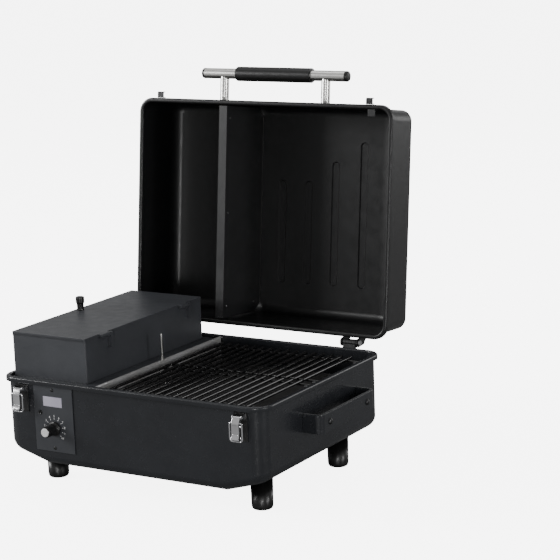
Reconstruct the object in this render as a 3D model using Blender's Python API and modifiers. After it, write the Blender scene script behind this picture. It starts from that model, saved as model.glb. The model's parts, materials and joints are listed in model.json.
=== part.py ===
"""Portable pellet smoker grill, shown with its lid open.

Frame: metres, +Z up, X across the front (right is +), Y from the front wall to the back.
The model is drawn with z = 0 on the ground, x = 0 midway between the side walls and
y = 0 on the outer face of the front wall; centre_on_origin then moves everything back or
forth so that the origin is under the middle of the whole open grill.
The lid is drawn closed and turned open about its hinge pins by one parent empty.
"""
import math

import bmesh
import bpy
from mathutils import Matrix, Vector

# ---------------------------------------------------------------- driving dimensions
BODY_W = 0.510            # between the outer faces of the side walls
BODY_D = 0.387            # between the outer faces of the front and back walls
RIM_Z = 0.1915            # top of the body's rolled rim
BELLY_Z = 0.044           # underside of the body between the two sloping ends
END_Z = 0.066             # underside of the sloping ends where they meet the side walls
CREASE_X = 0.178          # where the flat underside turns into the sloping ends
SHEET = 0.0015            # body and lid sheet
CORNER_R = 0.024          # upright corners
EDGE_R = 0.0165           # rounded edge around the underside and around the lid's top
LIP_OUT = 0.0065          # how far a rolled rim stands out from its wall
LIP_DROP = 0.0085         # height of a rolled rim
GAP = 0.0003              # between pieces that touch

LID_W = 0.5255            # over the lid's rolled rim
LID_D = 0.405
LID_WALL = 0.103          # height of the lid's side walls
LID_TOP = 0.130           # height of the lid's flat top above its rim
LID_DRAFT = 0.0035
LID_ANGLE = 96.6          # opening angle, degrees
PIVOT_Y = 0.4045
PIVOT_Z = 0.198
LID_Z = 0.1924            # rim plane of the closed lid
LID_BACK_Y = 0.3951       # back edge of the closed lid's rim
LID_Y = LID_BACK_Y - LID_D / 2

HALF_W = BODY_W / 2
INNER_X = HALF_W - SHEET
INNER_BACK = BODY_D - SHEET
BELLY_IN = BELLY_Z + SHEET

DIVIDER_X = -0.0675       # left face of the wall between hopper side and cooking chamber
AUGER_Y = 0.200
AUGER_Z = 0.096
POT_X = 0.080
GRATE_X = (-0.0525, 0.2110)      # first and last long bar of the grate
GRATE_BARS = 16
LATCH_X = 0.2165
HINGE_X = 0.190
FOOT_X = 0.206
FOOT_Y = (0.070, 0.3205)
HOPPER_X = (-0.2490, -0.0965)
HOPPER_Y = (0.0215, 0.3700)
HOPPER_TOP = 0.2635
HOPPER_LID_T = 0.0020
FUNNEL_DROP = 0.0026      # the funnel hangs this far below the bin, clear of its sheet
PANEL_X = -0.1525
PANEL_Z = (0.0695, 0.1825)
PANEL_FACE = -0.0019
KNOB_X, KNOB_Z = -0.152, 0.110

PARTS_NAME = "pellet_smoker_grill"

# ---------------------------------------------------------------- scene and materials
for old in list(bpy.data.objects):
    bpy.data.objects.remove(old, do_unlink=True)


def collection(name):
    """A new collection linked to the scene."""
    made = bpy.data.collections.new(name)
    bpy.context.scene.collection.children.link(made)
    return made


PARTS = collection(PARTS_NAME)
HELPERS = collection("cutters")


def material(name, colour, roughness, metallic=0.0):
    """A Principled material of one plain colour."""
    made = bpy.data.materials.new(name)
    made.use_nodes = True
    shader = made.node_tree.nodes["Principled BSDF"]
    shader.inputs["Base Color"].default_value = (*colour, 1.0)
    shader.inputs["Roughness"].default_value = roughness
    shader.inputs["Metallic"].default_value = metallic
    made.diffuse_color = (*colour, 1.0)
    return made


COAT = material("powder_coat", (0.035, 0.036, 0.042), 0.45, 0.2)
ENAMEL = material("porcelain_enamel", (0.02, 0.02, 0.022), 0.3)
STEEL = material("brushed_steel", (0.55, 0.54, 0.52), 0.3, 1.0)
CHROME = material("chrome", (0.75, 0.75, 0.77), 0.12, 1.0)
ZINC = material("zinc_plate", (0.5, 0.5, 0.5), 0.4, 1.0)
PLASTIC = material("black_plastic", (0.02, 0.02, 0.022), 0.5)
RUBBER = material("rubber", (0.018, 0.018, 0.018), 0.8)
SCREEN = material("display_window", (0.45, 0.47, 0.48), 0.2)
CAST = material("cast_iron", (0.05, 0.048, 0.045), 0.7, 0.6)
CAP = material("knob_cap", (0.75, 0.75, 0.76), 0.3, 0.4)


# ---------------------------------------------------------------- shape helpers
def place(name, mesh, mat, where=None):
    """Links a mesh as a named object; a cutter is hidden from renders."""
    obj = bpy.data.objects.new(name, mesh)
    (where or PARTS).objects.link(obj)
    if mat:
        mesh.materials.append(mat)
    if where is HELPERS:
        obj.hide_render = True
        obj.display_type = "WIRE"
    mesh.shade_smooth()
    mesh.set_sharp_from_angle(angle=math.radians(35))
    return obj


def from_bmesh(name, bm, mat, where=None):
    """Turns a bmesh into a placed object with its faces pointing out."""
    bmesh.ops.recalc_face_normals(bm, faces=bm.faces[:])
    mesh = bpy.data.meshes.new(name)
    bm.to_mesh(mesh)
    bm.free()
    return place(name, mesh, mat, where)


def block(name, low, high, mat=None, where=None, round_edges=0.0):
    """A box between two corners, with all its edges rounded if asked."""
    bm = bmesh.new()
    size = [b - a for a, b in zip(low, high)]
    middle = [(a + b) / 2 for a, b in zip(low, high)]
    bmesh.ops.create_cube(bm, size=1.0)
    bmesh.ops.scale(bm, vec=size, verts=bm.verts[:])
    bmesh.ops.translate(bm, vec=middle, verts=bm.verts[:])
    if round_edges:
        bmesh.ops.bevel(bm, geom=bm.edges[:], offset=round_edges, segments=2, profile=0.5,
                        affect="EDGES")
    return from_bmesh(name, bm, mat, where)


def along(start, end):
    """The matrix that lays a shape centred on local Z between two points."""
    start, end = Vector(start), Vector(end)
    turn = (end - start).to_track_quat("Z", "Y").to_matrix().to_4x4()
    return Matrix.Translation((start + end) / 2) @ turn


def add_rod(bm, start, end, radius, sides=12, end_radius=None):
    """Adds a closed round bar between two points to a bmesh."""
    bmesh.ops.create_cone(bm, cap_ends=True, segments=sides, radius1=radius,
                          radius2=radius if end_radius is None else end_radius,
                          depth=(Vector(end) - Vector(start)).length,
                          matrix=along(start, end))


def rod(name, start, end, radius, mat=None, where=None, sides=16, end_radius=None):
    """A closed round bar between two points."""
    bm = bmesh.new()
    add_rod(bm, start, end, radius, sides, end_radius)
    return from_bmesh(name, bm, mat, where)


def arc(centre, radius, first, last, count):
    """Points on an arc, angles in degrees."""
    steps = [math.radians(first + (last - first) * i / count) for i in range(count + 1)]
    return [(centre[0] + radius * math.cos(a), centre[1] + radius * math.sin(a)) for a in steps]


FACING = {
    "x": Matrix(((0, 0, 1, 0), (1, 0, 0, 0), (0, 1, 0, 0), (0, 0, 0, 1))),
    "y": Matrix(((0, 1, 0, 0), (0, 0, 1, 0), (1, 0, 0, 0), (0, 0, 0, 1))),
    "z": Matrix.Identity(4),
}


def slab(name, outline, axis, low, high, mat=None, where=None):
    """A flat outline as a solid along an axis: its points are (y, z) for x, (z, x) for y, (x, y) for z."""
    curve = bpy.data.curves.new(name, "CURVE")
    curve.dimensions = "2D"
    curve.fill_mode = "BOTH"
    curve.extrude = (high - low) / 2
    spline = curve.splines.new("POLY")
    spline.points.add(len(outline) - 1)
    for point, (a, b) in zip(spline.points, outline):
        point.co = (a, b, 0.0, 1.0)
    spline.use_cyclic_u = True
    return solid_from_curve(name, curve, mat, where,
                            FACING[axis] @ Matrix.Translation((0, 0, (low + high) / 2)))


def solid_from_curve(name, curve, mat, where, matrix):
    """Makes a closed mesh of a curve, with its caps welded on."""
    guide = bpy.data.objects.new(name + "_curve", curve)
    HELPERS.objects.link(guide)
    graph = bpy.context.evaluated_depsgraph_get()
    mesh = bpy.data.meshes.new_from_object(guide.evaluated_get(graph))
    bpy.data.objects.remove(guide, do_unlink=True)
    mesh.transform(matrix)
    bm = bmesh.new()
    bm.from_mesh(mesh)
    bmesh.ops.remove_doubles(bm, verts=bm.verts[:], dist=1e-6)
    return from_bmesh(name, bm, mat, where)


def bent_rod(name, points, radius, mat=None, where=None, resolution=2):
    """A round bar bent through a list of points."""
    curve = bpy.data.curves.new(name, "CURVE")
    curve.dimensions = "3D"
    curve.bevel_depth = radius
    curve.bevel_resolution = resolution
    curve.use_fill_caps = True
    spline = curve.splines.new("POLY")
    spline.points.add(len(points) - 1)
    for point, spot in zip(spline.points, points):
        point.co = (*spot, 1.0)
    return solid_from_curve(name, curve, mat, where, Matrix.Identity(4))


def turned(name, profile, foot, direction, mat=None, where=None, steps=24, ring=False):
    """A turned solid: profile points are (radius, height), running down the outer side."""
    bm = bmesh.new()
    verts = [bm.verts.new((r, 0.0, h)) for r, h in profile]
    for a, b in zip(verts, verts[1:]):
        bm.edges.new((a, b))
    if ring:
        bm.edges.new((verts[-1], verts[0]))
    mesh = bpy.data.meshes.new(name)
    bm.to_mesh(mesh)
    bm.free()
    obj = place(name, mesh, mat, where)
    screw = obj.modifiers.new("turn", "SCREW")
    screw.axis = "Z"
    screw.steps = screw.render_steps = steps
    screw.use_merge_vertices = True
    screw.merge_threshold = 0.00005
    foot, direction = Vector(foot), Vector(direction)
    obj.matrix_world = Matrix.Translation(foot) @ direction.to_track_quat("Z", "Y").to_matrix().to_4x4()
    return obj


def boolean(obj, operand, operation):
    """A Boolean modifier with the exact solver."""
    made = obj.modifiers.new(operation.lower(), "BOOLEAN")
    made.operation = operation
    made.solver = "EXACT"
    made.object = operand


def cut(obj, *cutters):
    """Takes each cutter out of the object."""
    for cutter in cutters:
        boolean(obj, cutter, "DIFFERENCE")
    return obj


def fuse(obj, *pieces):
    """Joins each piece to the object as one body."""
    for piece in pieces:
        boolean(obj, piece, "UNION")
    return obj


def side_name(sign):
    return "right" if sign > 0 else "left"


# ---------------------------------------------------------------- pressed pans (body and lid)
def push_out(verts, core_x, core_y, distance):
    """Moves rim points straight out from the rounded rectangle that they lie on."""
    for vert in verts:
        nearest = Vector((max(-core_x, min(core_x, vert.co.x)), max(-core_y, min(core_y, vert.co.y)),
                          vert.co.z))
        vert.co += (vert.co - nearest).normalized() * distance


def boundary(bm):
    return [edge for edge in bm.edges if edge.is_boundary]


def grow_rim(bm):
    """Extrudes the open edge and returns its new points."""
    made = bmesh.ops.extrude_edge_only(bm, edges=boundary(bm))["geom"]
    return [item for item in made if isinstance(item, bmesh.types.BMVert)]


def pan(name, half, wall, middle, corner, draft):
    """A pressed sheet pan, open upwards at z = 0, with a rolled rim and two sloping ends.

    The drawn surface is the outside of the walls, which is the hidden side of the rolled rim,
    so the rim is drawn one sheet low and one sheet in.
    """
    bm = bmesh.new()
    bmesh.ops.create_cube(bm, size=1.0)
    bmesh.ops.translate(bm, vec=(0, 0, -0.5), verts=bm.verts[:])
    bmesh.ops.scale(bm, vec=(2 * half[0], 2 * half[1], wall - SHEET), verts=bm.verts[:])
    bmesh.ops.translate(bm, vec=(0, 0, -SHEET), verts=bm.verts[:])
    for x in (-CREASE_X, CREASE_X):
        bmesh.ops.bisect_plane(bm, geom=bm.verts[:] + bm.edges[:] + bm.faces[:], plane_co=(x, 0, 0),
                               plane_no=(1, 0, 0))
    for vert in bm.verts:
        if vert.co.z < -wall / 2:
            vert.co.y -= math.copysign(draft, vert.co.y)
            if abs(vert.co.x) > CREASE_X + 0.01:
                vert.co.x -= math.copysign(draft, vert.co.x)
            else:
                vert.co.z = -middle
    uprights = [e for e in bm.edges if abs(e.verts[0].co.z - e.verts[1].co.z) > wall / 2
                and abs(e.verts[0].co.x) > CREASE_X + 0.01]
    bmesh.ops.bevel(bm, geom=uprights, offset=corner, segments=6, profile=0.5, affect="EDGES")
    bmesh.ops.recalc_face_normals(bm, faces=bm.faces[:])
    bm.normal_update()
    belly = [e for e in bm.edges if len(e.link_faces) == 2
             and sorted(round(f.normal.z, 1) < -0.6 for f in e.link_faces) == [False, True]
             and max(v.co.z for v in e.verts) < -wall / 2]
    bmesh.ops.bevel(bm, geom=belly, offset=EDGE_R, segments=4, profile=0.5, affect="EDGES")
    bm.normal_update()
    bmesh.ops.delete(bm, geom=[f for f in bm.faces if f.normal.z > 0.9], context="FACES_ONLY")
    core = (half[0] - corner, half[1] - corner)
    fold = 0.0015
    push_out(grow_rim(bm), *core, LIP_OUT - SHEET - fold)
    shoulder = grow_rim(bm)
    push_out(shoulder, *core, fold)
    bmesh.ops.translate(bm, vec=(0, 0, -fold), verts=shoulder)
    bmesh.ops.translate(bm, vec=(0, 0, SHEET + fold - LIP_DROP), verts=grow_rim(bm))
    bmesh.ops.recalc_face_normals(bm, faces=bm.faces[:])
    bm.normal_update()
    if min(bm.faces, key=lambda f: f.calc_center_median().z).normal.z > 0:
        bmesh.ops.reverse_faces(bm, faces=bm.faces[:])
    mesh = bpy.data.meshes.new(name)
    bm.to_mesh(mesh)
    bm.free()
    obj = place(name, mesh, COAT)
    sheet = obj.modifiers.new("sheet", "SOLIDIFY")
    sheet.thickness = SHEET
    sheet.offset = -1.0
    sheet.use_even_offset = True
    return obj


# ---------------------------------------------------------------- body
def body():
    """The pressed body with its openings, four feet and two carrying handles."""
    tub = pan("body_tub", (HALF_W, BODY_D / 2), RIM_Z - END_Z, RIM_Z - BELLY_Z, CORNER_R, 0.0)
    tub.location = (0, BODY_D / 2, RIM_Z)
    controls = block("cut_controls", (PANEL_X - 0.033, -0.01, 0.088), (PANEL_X + 0.033, 0.01, 0.172),
                     where=HELPERS)
    inlet = block("cut_inlet", (-0.1935, BODY_D - 0.01, 0.0995), (-0.1645, BODY_D + 0.01, 0.1205),
                  where=HELPERS)
    cut(tub, controls, inlet)
    for i in range(5):
        y = 0.292 + 0.010 * i
        cut(tub, block(f"cut_intake_{i}", (-0.160, y - 0.0025, 0.03), (-0.112, y + 0.0025, 0.06),
                       where=HELPERS))
    for i, x in enumerate((-FOOT_X, FOOT_X)):
        for j, y in enumerate(FOOT_Y):
            name = f"foot_{('front', 'rear')[j]}_{('left', 'right')[i]}"
            foot = turned(name, [(0, 0.075), (0.0190, 0.075), (0.0180, 0.006), (0.0165, 0.002), (0.0130, 0),
                                 (0, 0)],
                          (x, y, 0), (0, 0, 1), RUBBER)
            cut(foot, foot_seat(name, x))
    for sign in (-1, 1):
        side_handle(sign)


def foot_seat(name, x):
    """The sloping underside that a foot is cut to, plus a hair of clearance."""
    slope = (END_Z - BELLY_Z) / (HALF_W - CREASE_X)
    out = math.copysign(1, x)
    inner, outer = CREASE_X, HALF_W
    outline = [(inner - 0.03, BELLY_Z - GAP), (inner, BELLY_Z - GAP),
               (outer, BELLY_Z + slope * (outer - inner) - GAP), (outer, 0.12), (inner - 0.03, 0.12)]
    points = [(z, out * a) for a, z in outline]
    return slab("cut_" + name, points, "y", 0.0, BODY_D, where=HELPERS)


def side_handle(sign):
    """A strap handle bent from one wide strip, held to the wall by two through bolts."""
    x0, x1 = HALF_W + GAP, 0.2905
    y0, y1, z0, z1 = 0.1225, 0.3065, 0.1180, 0.1500
    r, thick = 0.012, 0.006
    outline = [(x0, y0)] + arc((x1 - r, y0 + r), r, -90, 0, 4) \
        + arc((x1 - r, y1 - r), r, 0, 90, 4) + [(x0, y1)]
    inner = [(x0, y1 - thick)] + arc((x1 - r, y1 - r), r - thick, 90, 0, 3) \
        + arc((x1 - r, y0 + r), r - thick, 0, -90, 3) + [(x0, y0 + thick)]
    name = f"side_handle_{side_name(sign)}"
    points = [(sign * x, y) for x, y in outline + inner]
    handle = slab(name, points, "z", z0, z1, COAT)
    bevel = handle.modifiers.new("soft_edges", "BEVEL")
    bevel.width = 0.0018
    bevel.segments = 2
    bevel.limit_method = "ANGLE"
    bevel.angle_limit = math.radians(50)
    middle = (z0 + z1) / 2
    for end, y in (("front", 0.152), ("rear", 0.277)):
        bolt = rod(f"handle_bolt_{end}_{side_name(sign)}", (sign * (x1 + GAP), y, middle),
                   (sign * (x1 + 0.0033), y, middle), 0.0055, ZINC, sides=16)
        fuse(bolt, rod(f"shank_{end}_{side_name(sign)}", (sign * (x1 - thick + GAP), y, middle),
                       (sign * (x1 + 0.001), y, middle), 0.003, where=HELPERS, sides=12))
        cut(handle, rod(f"bore_{end}_{side_name(sign)}", (sign * (x1 - 0.02), y, middle),
                        (sign * (x1 + 0.01), y, middle), 0.003 + GAP, where=HELPERS, sides=12))


# ---------------------------------------------------------------- front controls
def controls():
    """Control panel, display, probe jack, knob and the controller box behind the wall."""
    z0, z1 = PANEL_Z
    panel = block("control_panel", (PANEL_X - 0.040, PANEL_FACE, z0), (PANEL_X + 0.040, -GAP, z1), PLASTIC)
    knob_hole = rod("cut_shaft", (KNOB_X, -0.01, KNOB_Z), (KNOB_X, 0.01, KNOB_Z), 0.0038, where=HELPERS)
    window_hole = block("cut_window", (-0.1740, -0.01, 0.1470), (-0.1345, 0.01, 0.1645), where=HELPERS)
    jack_hole = rod("cut_jack", (-0.1805, -0.01, 0.1355), (-0.1805, 0.01, 0.1355), 0.0042, where=HELPERS)
    cut(panel, knob_hole, window_hole, jack_hole)
    block("display_window", (-0.1737, PANEL_FACE + 0.0004, 0.1473), (-0.1348, 0.0020, 0.1642), SCREEN)
    turned("probe_jack", [(0, 0.0052), (0.0028, 0.0052), (0.0034, 0.0045), (0.0038, 0), (0, 0)],
           (-0.1805, 0.0020, 0.1355), (0, -1, 0), STEEL, steps=16)
    block("controller_box", (PANEL_X - 0.031, 0.0024, 0.090), (PANEL_X + 0.031, 0.0290, 0.170), PLASTIC,
          round_edges=0.002)
    knob = turned("control_knob", [(0, 0.0265), (0.0078, 0.0265), (0.0092, 0.0255), (0.0100, 0.0050),
                                   (0.0125, 0.0035),
                                   (0.0125, 0.0006), (0, 0.0006)],
                  (KNOB_X, PANEL_FACE, KNOB_Z), (0, -1, 0), PLASTIC, steps=32)
    fuse(knob, rod("knob_shaft", (KNOB_X, PANEL_FACE - 0.002, KNOB_Z), (KNOB_X, 0.0015, KNOB_Z), 0.003,
                   where=HELPERS))
    turned("knob_cap", [(0, 0.0018), (0.0060, 0.0018), (0.0072, 0.0010), (0.0074, 0), (0, 0)],
           (KNOB_X, PANEL_FACE - 0.0265 - GAP, KNOB_Z), (0, -1, 0), CAP)
    inlet = block("power_inlet", (-0.1930, BODY_D - 0.020, 0.1000), (-0.1650, BODY_D + 0.001, 0.1200),
                  PLASTIC)
    fuse(inlet, block("inlet_flange", (-0.1960, BODY_D + GAP, 0.0970), (-0.1620, BODY_D + 0.0025, 0.1230),
                      where=HELPERS))
    cut(inlet, block("cut_socket", (-0.1900, BODY_D - 0.016, 0.1030), (-0.1680, BODY_D + 0.010, 0.1170),
                     where=HELPERS))


# ---------------------------------------------------------------- fire and feed
def fire_and_feed():
    """Auger, its tube and motor, fire pot and fan."""
    tube = rod("auger_tube", (-0.166, AUGER_Y, AUGER_Z), (POT_X - 0.032, AUGER_Y, AUGER_Z), 0.0175, STEEL,
               sides=24)
    cut(tube, rod("cut_tube", (-0.170, AUGER_Y, AUGER_Z), (0.10, AUGER_Y, AUGER_Z), 0.0160, where=HELPERS,
                  sides=24),
        block("cut_feed", (-0.160, AUGER_Y - 0.012, AUGER_Z + 0.004),
              (-0.112, AUGER_Y + 0.012, AUGER_Z + 0.03), where=HELPERS))
    auger()
    motor = block("auger_motor", (-0.232, AUGER_Y - 0.024, AUGER_Z - 0.024),
                  (-0.182, AUGER_Y + 0.024, AUGER_Z + 0.024),
                  ZINC, round_edges=0.003)
    fuse(motor, rod("motor_boss", (-0.183, AUGER_Y, AUGER_Z), (-0.1755, AUGER_Y, AUGER_Z), 0.012,
                    where=HELPERS))
    pot = turned("fire_pot", [(0, 0.010), (0.0280, 0.010), (0.0280, 0.063), (0.0300, 0.063), (0.0300, 0.008),
                              (0.0360, 0.006), (0.0360, 0), (0, 0)],
                 (POT_X, AUGER_Y, BELLY_IN + GAP), (0, 0, 1), CAST, steps=32)
    cut(pot, rod("cut_pot_feed", (POT_X - 0.05, AUGER_Y, AUGER_Z), (POT_X, AUGER_Y, AUGER_Z), 0.0125,
                 where=HELPERS))
    fan = (-0.136, 0.312, BELLY_IN + GAP)
    turned("fan_housing", [(0.0360, 0.034), (0.0360, 0.0), (0.0200, 0.0), (0.0200, 0.0015), (0.0345, 0.0015),
                                     (0.0345, 0.034)], fan, (0, 0, 1), PLASTIC, steps=32, ring=True)
    impeller(fan)


def auger():
    """The feed screw: an eight-sided section with one tall corner, extruded and turned step by step."""
    start, length, turns, per_turn = -0.1745, 0.2150, 7, 10
    steps = turns * per_turn
    step_length, step_angle = length / steps, 2 * math.pi / per_turn
    bm = bmesh.new()
    corners = []
    for k in range(8):
        a, r = 2 * math.pi * k / 8, 0.0140 if k == 0 else 0.0045
        corners.append(bm.verts.new((start, AUGER_Y + r * math.cos(a), AUGER_Z + r * math.sin(a))))
    face = bm.faces.new(corners)
    for step in range(steps):
        made = bmesh.ops.extrude_face_region(bm, geom=[face])["geom"]
        if step:
            bmesh.ops.delete(bm, geom=[face], context="FACES_ONLY")
        ring = [item for item in made if isinstance(item, bmesh.types.BMVert)]
        face = next(item for item in made if isinstance(item, bmesh.types.BMFace))
        bmesh.ops.translate(bm, vec=(step_length, 0, 0), verts=ring)
        bmesh.ops.rotate(bm, cent=(0, AUGER_Y, AUGER_Z), matrix=Matrix.Rotation(step_angle, 3, "X"),
                         verts=ring)
    bmesh.ops.triangulate(bm, faces=bm.faces[:])
    from_bmesh("auger", bm, CAST)


def impeller(foot):
    """A flat disc with upright blades around its edge and a hub."""
    x, y, z = foot
    disc = rod("fan_impeller", (x, y, z + 0.0200), (x, y, z + 0.0212), 0.0310, PLASTIC, sides=24)
    fuse(disc, rod("fan_hub", (x, y, z + 0.0080), (x, y, z + 0.0300), 0.0060, where=HELPERS))
    for i in range(10):
        a = 2 * math.pi * i / 10
        blade = block(f"fan_blade_{i}", (0.0170, -0.0006, z + 0.0060), (0.0305, 0.0006, z + 0.0205),
                      where=HELPERS)
        blade.matrix_world = Matrix.Translation((x, y, 0)) @ Matrix.Rotation(a, 4, "Z")
        fuse(disc, blade)


# ---------------------------------------------------------------- cooking chamber
def chamber():
    """Dividing wall, heat baffle, drip tray, grate ledge, grate and temperature probe."""
    x0 = DIVIDER_X
    wall = block("chamber_divider", (x0, 0.0030, 0.0640), (x0 + 0.0012, INNER_BACK - 0.0015, 0.1900), STEEL)
    fuse(wall, block("divider_flange", (x0, 0.0060, 0.1886), (x0 + 0.0065, INNER_BACK - 0.0040, 0.1900),
                     where=HELPERS))
    fuse(wall, block("divider_foot", (x0, 0.0220, BELLY_IN + GAP), (x0 + 0.0012, 0.3650, 0.0700),
                     where=HELPERS))
    cut(wall, rod("cut_wall_auger", (x0 - 0.01, AUGER_Y, AUGER_Z), (x0 + 0.01, AUGER_Y, AUGER_Z), 0.0180,
                  where=HELPERS, sides=24))
    baffle_outline = [(-0.045, BELLY_IN + GAP), (-0.0435, BELLY_IN + GAP), (-0.0435, 0.1230), (0.062, 0.1300),
                      (0.1665, 0.1230), (0.1665, BELLY_IN + GAP), (0.168, BELLY_IN + GAP), (0.168, 0.1245),
                      (0.062, 0.1316), (-0.045, 0.1245)]
    baffle = slab("heat_baffle", [(z, x) for x, z in baffle_outline], "y", 0.030, 0.357, STEEL)
    cut(baffle, block("cut_baffle_auger", (-0.05, AUGER_Y - 0.0215, 0.03),
                      (-0.04, AUGER_Y + 0.0215, AUGER_Z + 0.0195), where=HELPERS))
    tray()
    ledge = block("grate_ledge", (INNER_X - 0.0110, 0.0300, 0.1745), (INNER_X - GAP, 0.3570, 0.1757), STEEL)
    fuse(ledge, block("ledge_back", (INNER_X - 0.0015, 0.0300, 0.1600), (INNER_X - GAP, 0.3570, 0.1757),
                      where=HELPERS))
    fuse(wall, block("divider_ledge", (x0 + 0.0006, 0.0300, 0.1745), (x0 + 0.0120, 0.3570, 0.1757),
                     where=HELPERS))
    grate("grate_front", (0.0200, 0.1970), (0.0370, 0.1880))
    grate("grate_rear", (0.2010, 0.3670), (0.2150, 0.3530))
    turned("temperature_probe", [(0, 0.0470), (0.0012, 0.0466), (0.0018, 0.0455), (0.0018, 0.0030),
                                         (0.0034, 0.0030), (0.0034, 0), (0, 0)],
                   (x0 + 0.0032, 0.1946, 0.1900 + GAP), (0, 0, 1), STEEL, steps=16)


def tray():
    """A shallow drip tray above the baffle."""
    low, high = (-0.0520, 0.0200, 0.1330), (0.2400, 0.3670, 0.1480)
    bm = bmesh.new()
    bmesh.ops.create_cube(bm, size=1.0)
    bmesh.ops.scale(bm, vec=[b - a for a, b in zip(low, high)], verts=bm.verts[:])
    bmesh.ops.translate(bm, vec=[(a + b) / 2 for a, b in zip(low, high)], verts=bm.verts[:])
    bm.normal_update()
    bmesh.ops.delete(bm, geom=[f for f in bm.faces if f.normal.z > 0.9], context="FACES_ONLY")
    mesh = bpy.data.meshes.new("drip_tray")
    bm.to_mesh(mesh)
    bm.free()
    obj = place("drip_tray", mesh, STEEL)
    sheet = obj.modifiers.new("sheet", "SOLIDIFY")
    sheet.thickness = 0.0012
    sheet.offset = -1.0
    sheet.use_even_offset = True


def grate(name, ends, cross_bars):
    """One half of the cooking grate: long bars welded on two cross bars, which end in flat tabs."""
    x0, x1 = GRATE_X
    tab_x = (x1 + 0.0140, x1 + 0.0385)
    low_z, top_z, radius = 0.1785, 0.1848, 0.0028
    grid = None
    for i, y in enumerate(cross_bars):
        bar_ends = ((x0 - 0.0060, y, low_z), (tab_x[0] + 0.0120, y, low_z))
        if grid is None:
            grid = rod(name, *bar_ends, 0.0024, ENAMEL, sides=8)
        else:
            fuse(grid, rod(f"{name}_cross_{i}", *bar_ends, 0.0024, where=HELPERS, sides=8))
        fuse(grid, block(f"{name}_tab_{i}", (tab_x[0], y - 0.0060, low_z - 0.0024),
                         (tab_x[1], y + 0.0060, low_z), where=HELPERS))
    long_bars = bmesh.new()
    for i in range(GRATE_BARS):
        x = x0 + (x1 - x0) * i / (GRATE_BARS - 1)
        add_rod(long_bars, (x, ends[0], top_z - radius), (x, ends[1], top_z - radius), radius, 8)
    fuse(grid, from_bmesh(f"{name}_long_bars", long_bars, None, HELPERS))


# ---------------------------------------------------------------- hopper
def hopper():
    """Deck, pellet bin with its funnel, lid, knob and hinge blocks."""
    x0, x1 = HOPPER_X
    y0, y1 = HOPPER_Y
    deck = block("hopper_deck", (-INNER_X + 0.0010, 0.0060, 0.1850),
                 (DIVIDER_X - 0.0015, INNER_BACK - 0.0045, 0.1862), COAT)
    round_uprights(deck, 0.022)
    clear = 2 * GAP
    cut(deck, block("cut_deck", (x0 - clear, y0 - clear, 0.18), (x1 + clear, y1 + clear, 0.19),
                    where=HELPERS))
    hopper_bin()
    hopper_lid()


def round_uprights(obj, radius):
    """Rounds the upright edges of a flat plate."""
    bm = bmesh.new()
    bm.from_mesh(obj.data)
    uprights = [e for e in bm.edges if abs(e.verts[0].co.z - e.verts[1].co.z) > SHEET / 2]
    bmesh.ops.bevel(bm, geom=uprights, offset=radius, segments=5, profile=0.5, affect="EDGES")
    bm.to_mesh(obj.data)
    bm.free()


def sheet_duct(name, bottom, top, low_z, high_z):
    """A four-sided sheet duct, open at both ends, between two rectangles (x0, y0, x1, y1)."""
    bm = bmesh.new()
    rings = []
    for (x0, y0, x1, y1), z in ((bottom, low_z), (top, high_z)):
        rings.append([bm.verts.new((x, y, z)) for x, y in ((x0, y0), (x1, y0), (x1, y1), (x0, y1))])
    for k in range(4):
        j = (k + 1) % 4
        bm.faces.new((rings[0][k], rings[0][j], rings[1][j], rings[1][k]))
    mesh = bpy.data.meshes.new(name)
    bm.to_mesh(mesh)
    bm.free()
    obj = place(name, mesh, COAT)
    sheet = obj.modifiers.new("sheet", "SOLIDIFY")
    sheet.thickness = 0.0012
    sheet.offset = -1.0
    sheet.use_even_offset = True


def hopper_bin():
    """The straight bin above the deck and the funnel that leads down to the auger's feed slot."""
    (x0, x1), (y0, y1) = HOPPER_X, HOPPER_Y
    shoulder, mouth = 0.1800, AUGER_Z + 0.0195
    around = (x0, y0, x1, y1)
    sheet_duct("hopper_bin", around, around, shoulder, HOPPER_TOP - HOPPER_LID_T - GAP)
    sheet_duct("hopper_funnel", (-0.162, AUGER_Y - 0.016, -0.110, AUGER_Y + 0.016), around, mouth,
               shoulder - FUNNEL_DROP)


def hopper_lid():
    """The pellet lid: a flat plate flush with the bin, with two knuckles on its right edge."""
    x0, x1 = HOPPER_X
    y0, y1 = HOPPER_Y
    top = HOPPER_TOP
    px, pz = x1 + 0.0044, top - 0.0037
    lid = block("hopper_lid", (x0, y0, top - HOPPER_LID_T), (x1, y1, top), COAT)
    half, knuckle_r, pin_r = 0.012, 0.0036, 0.0018
    for name, y in (("front", y0 + 0.050), ("rear", y1 - 0.062)):
        web = block(f"knuckle_web_{name}", (x1 - 0.001, y - half, top - HOPPER_LID_T), (px, y + half, top),
                    where=HELPERS)
        knuckle = rod(f"knuckle_{name}", (px, y - half, pz), (px, y + half, pz), knuckle_r, where=HELPERS,
                      sides=16)
        fuse(lid, web, knuckle)
        cut(lid, rod(f"cut_knuckle_{name}", (px, y - 0.013, pz), (px, y + 0.013, pz), pin_r + GAP,
                     where=HELPERS, sides=16))
        eye_r = 0.0034
        leaf = [(0.2360, x1 + GAP), (0.2360, px + eye_r)]
        leaf += arc((pz, px), eye_r, 90, -90, 8) + [(pz, x1 + GAP)]
        hinge = slab(f"hopper_hinge_{name}", leaf, "y", y + 0.0130, y + 0.0190, COAT)
        fuse(hinge, rod(f"hopper_pin_{name}", (px, y - 0.0115, pz), (px, y + 0.0150, pz), pin_r,
                        where=HELPERS, sides=16))
    turned("hopper_lid_knob", [(0, 0.0240), (0.0066, 0.0240), (0.0078, 0.0226), (0.0078, 0.0130),
                               (0.0064, 0.0115), (0.0060, 0.0015), (0.0066, 0), (0, 0)],
           (-0.2374, 0.1985, top + GAP), (0, 0, 1), PLASTIC)


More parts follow.
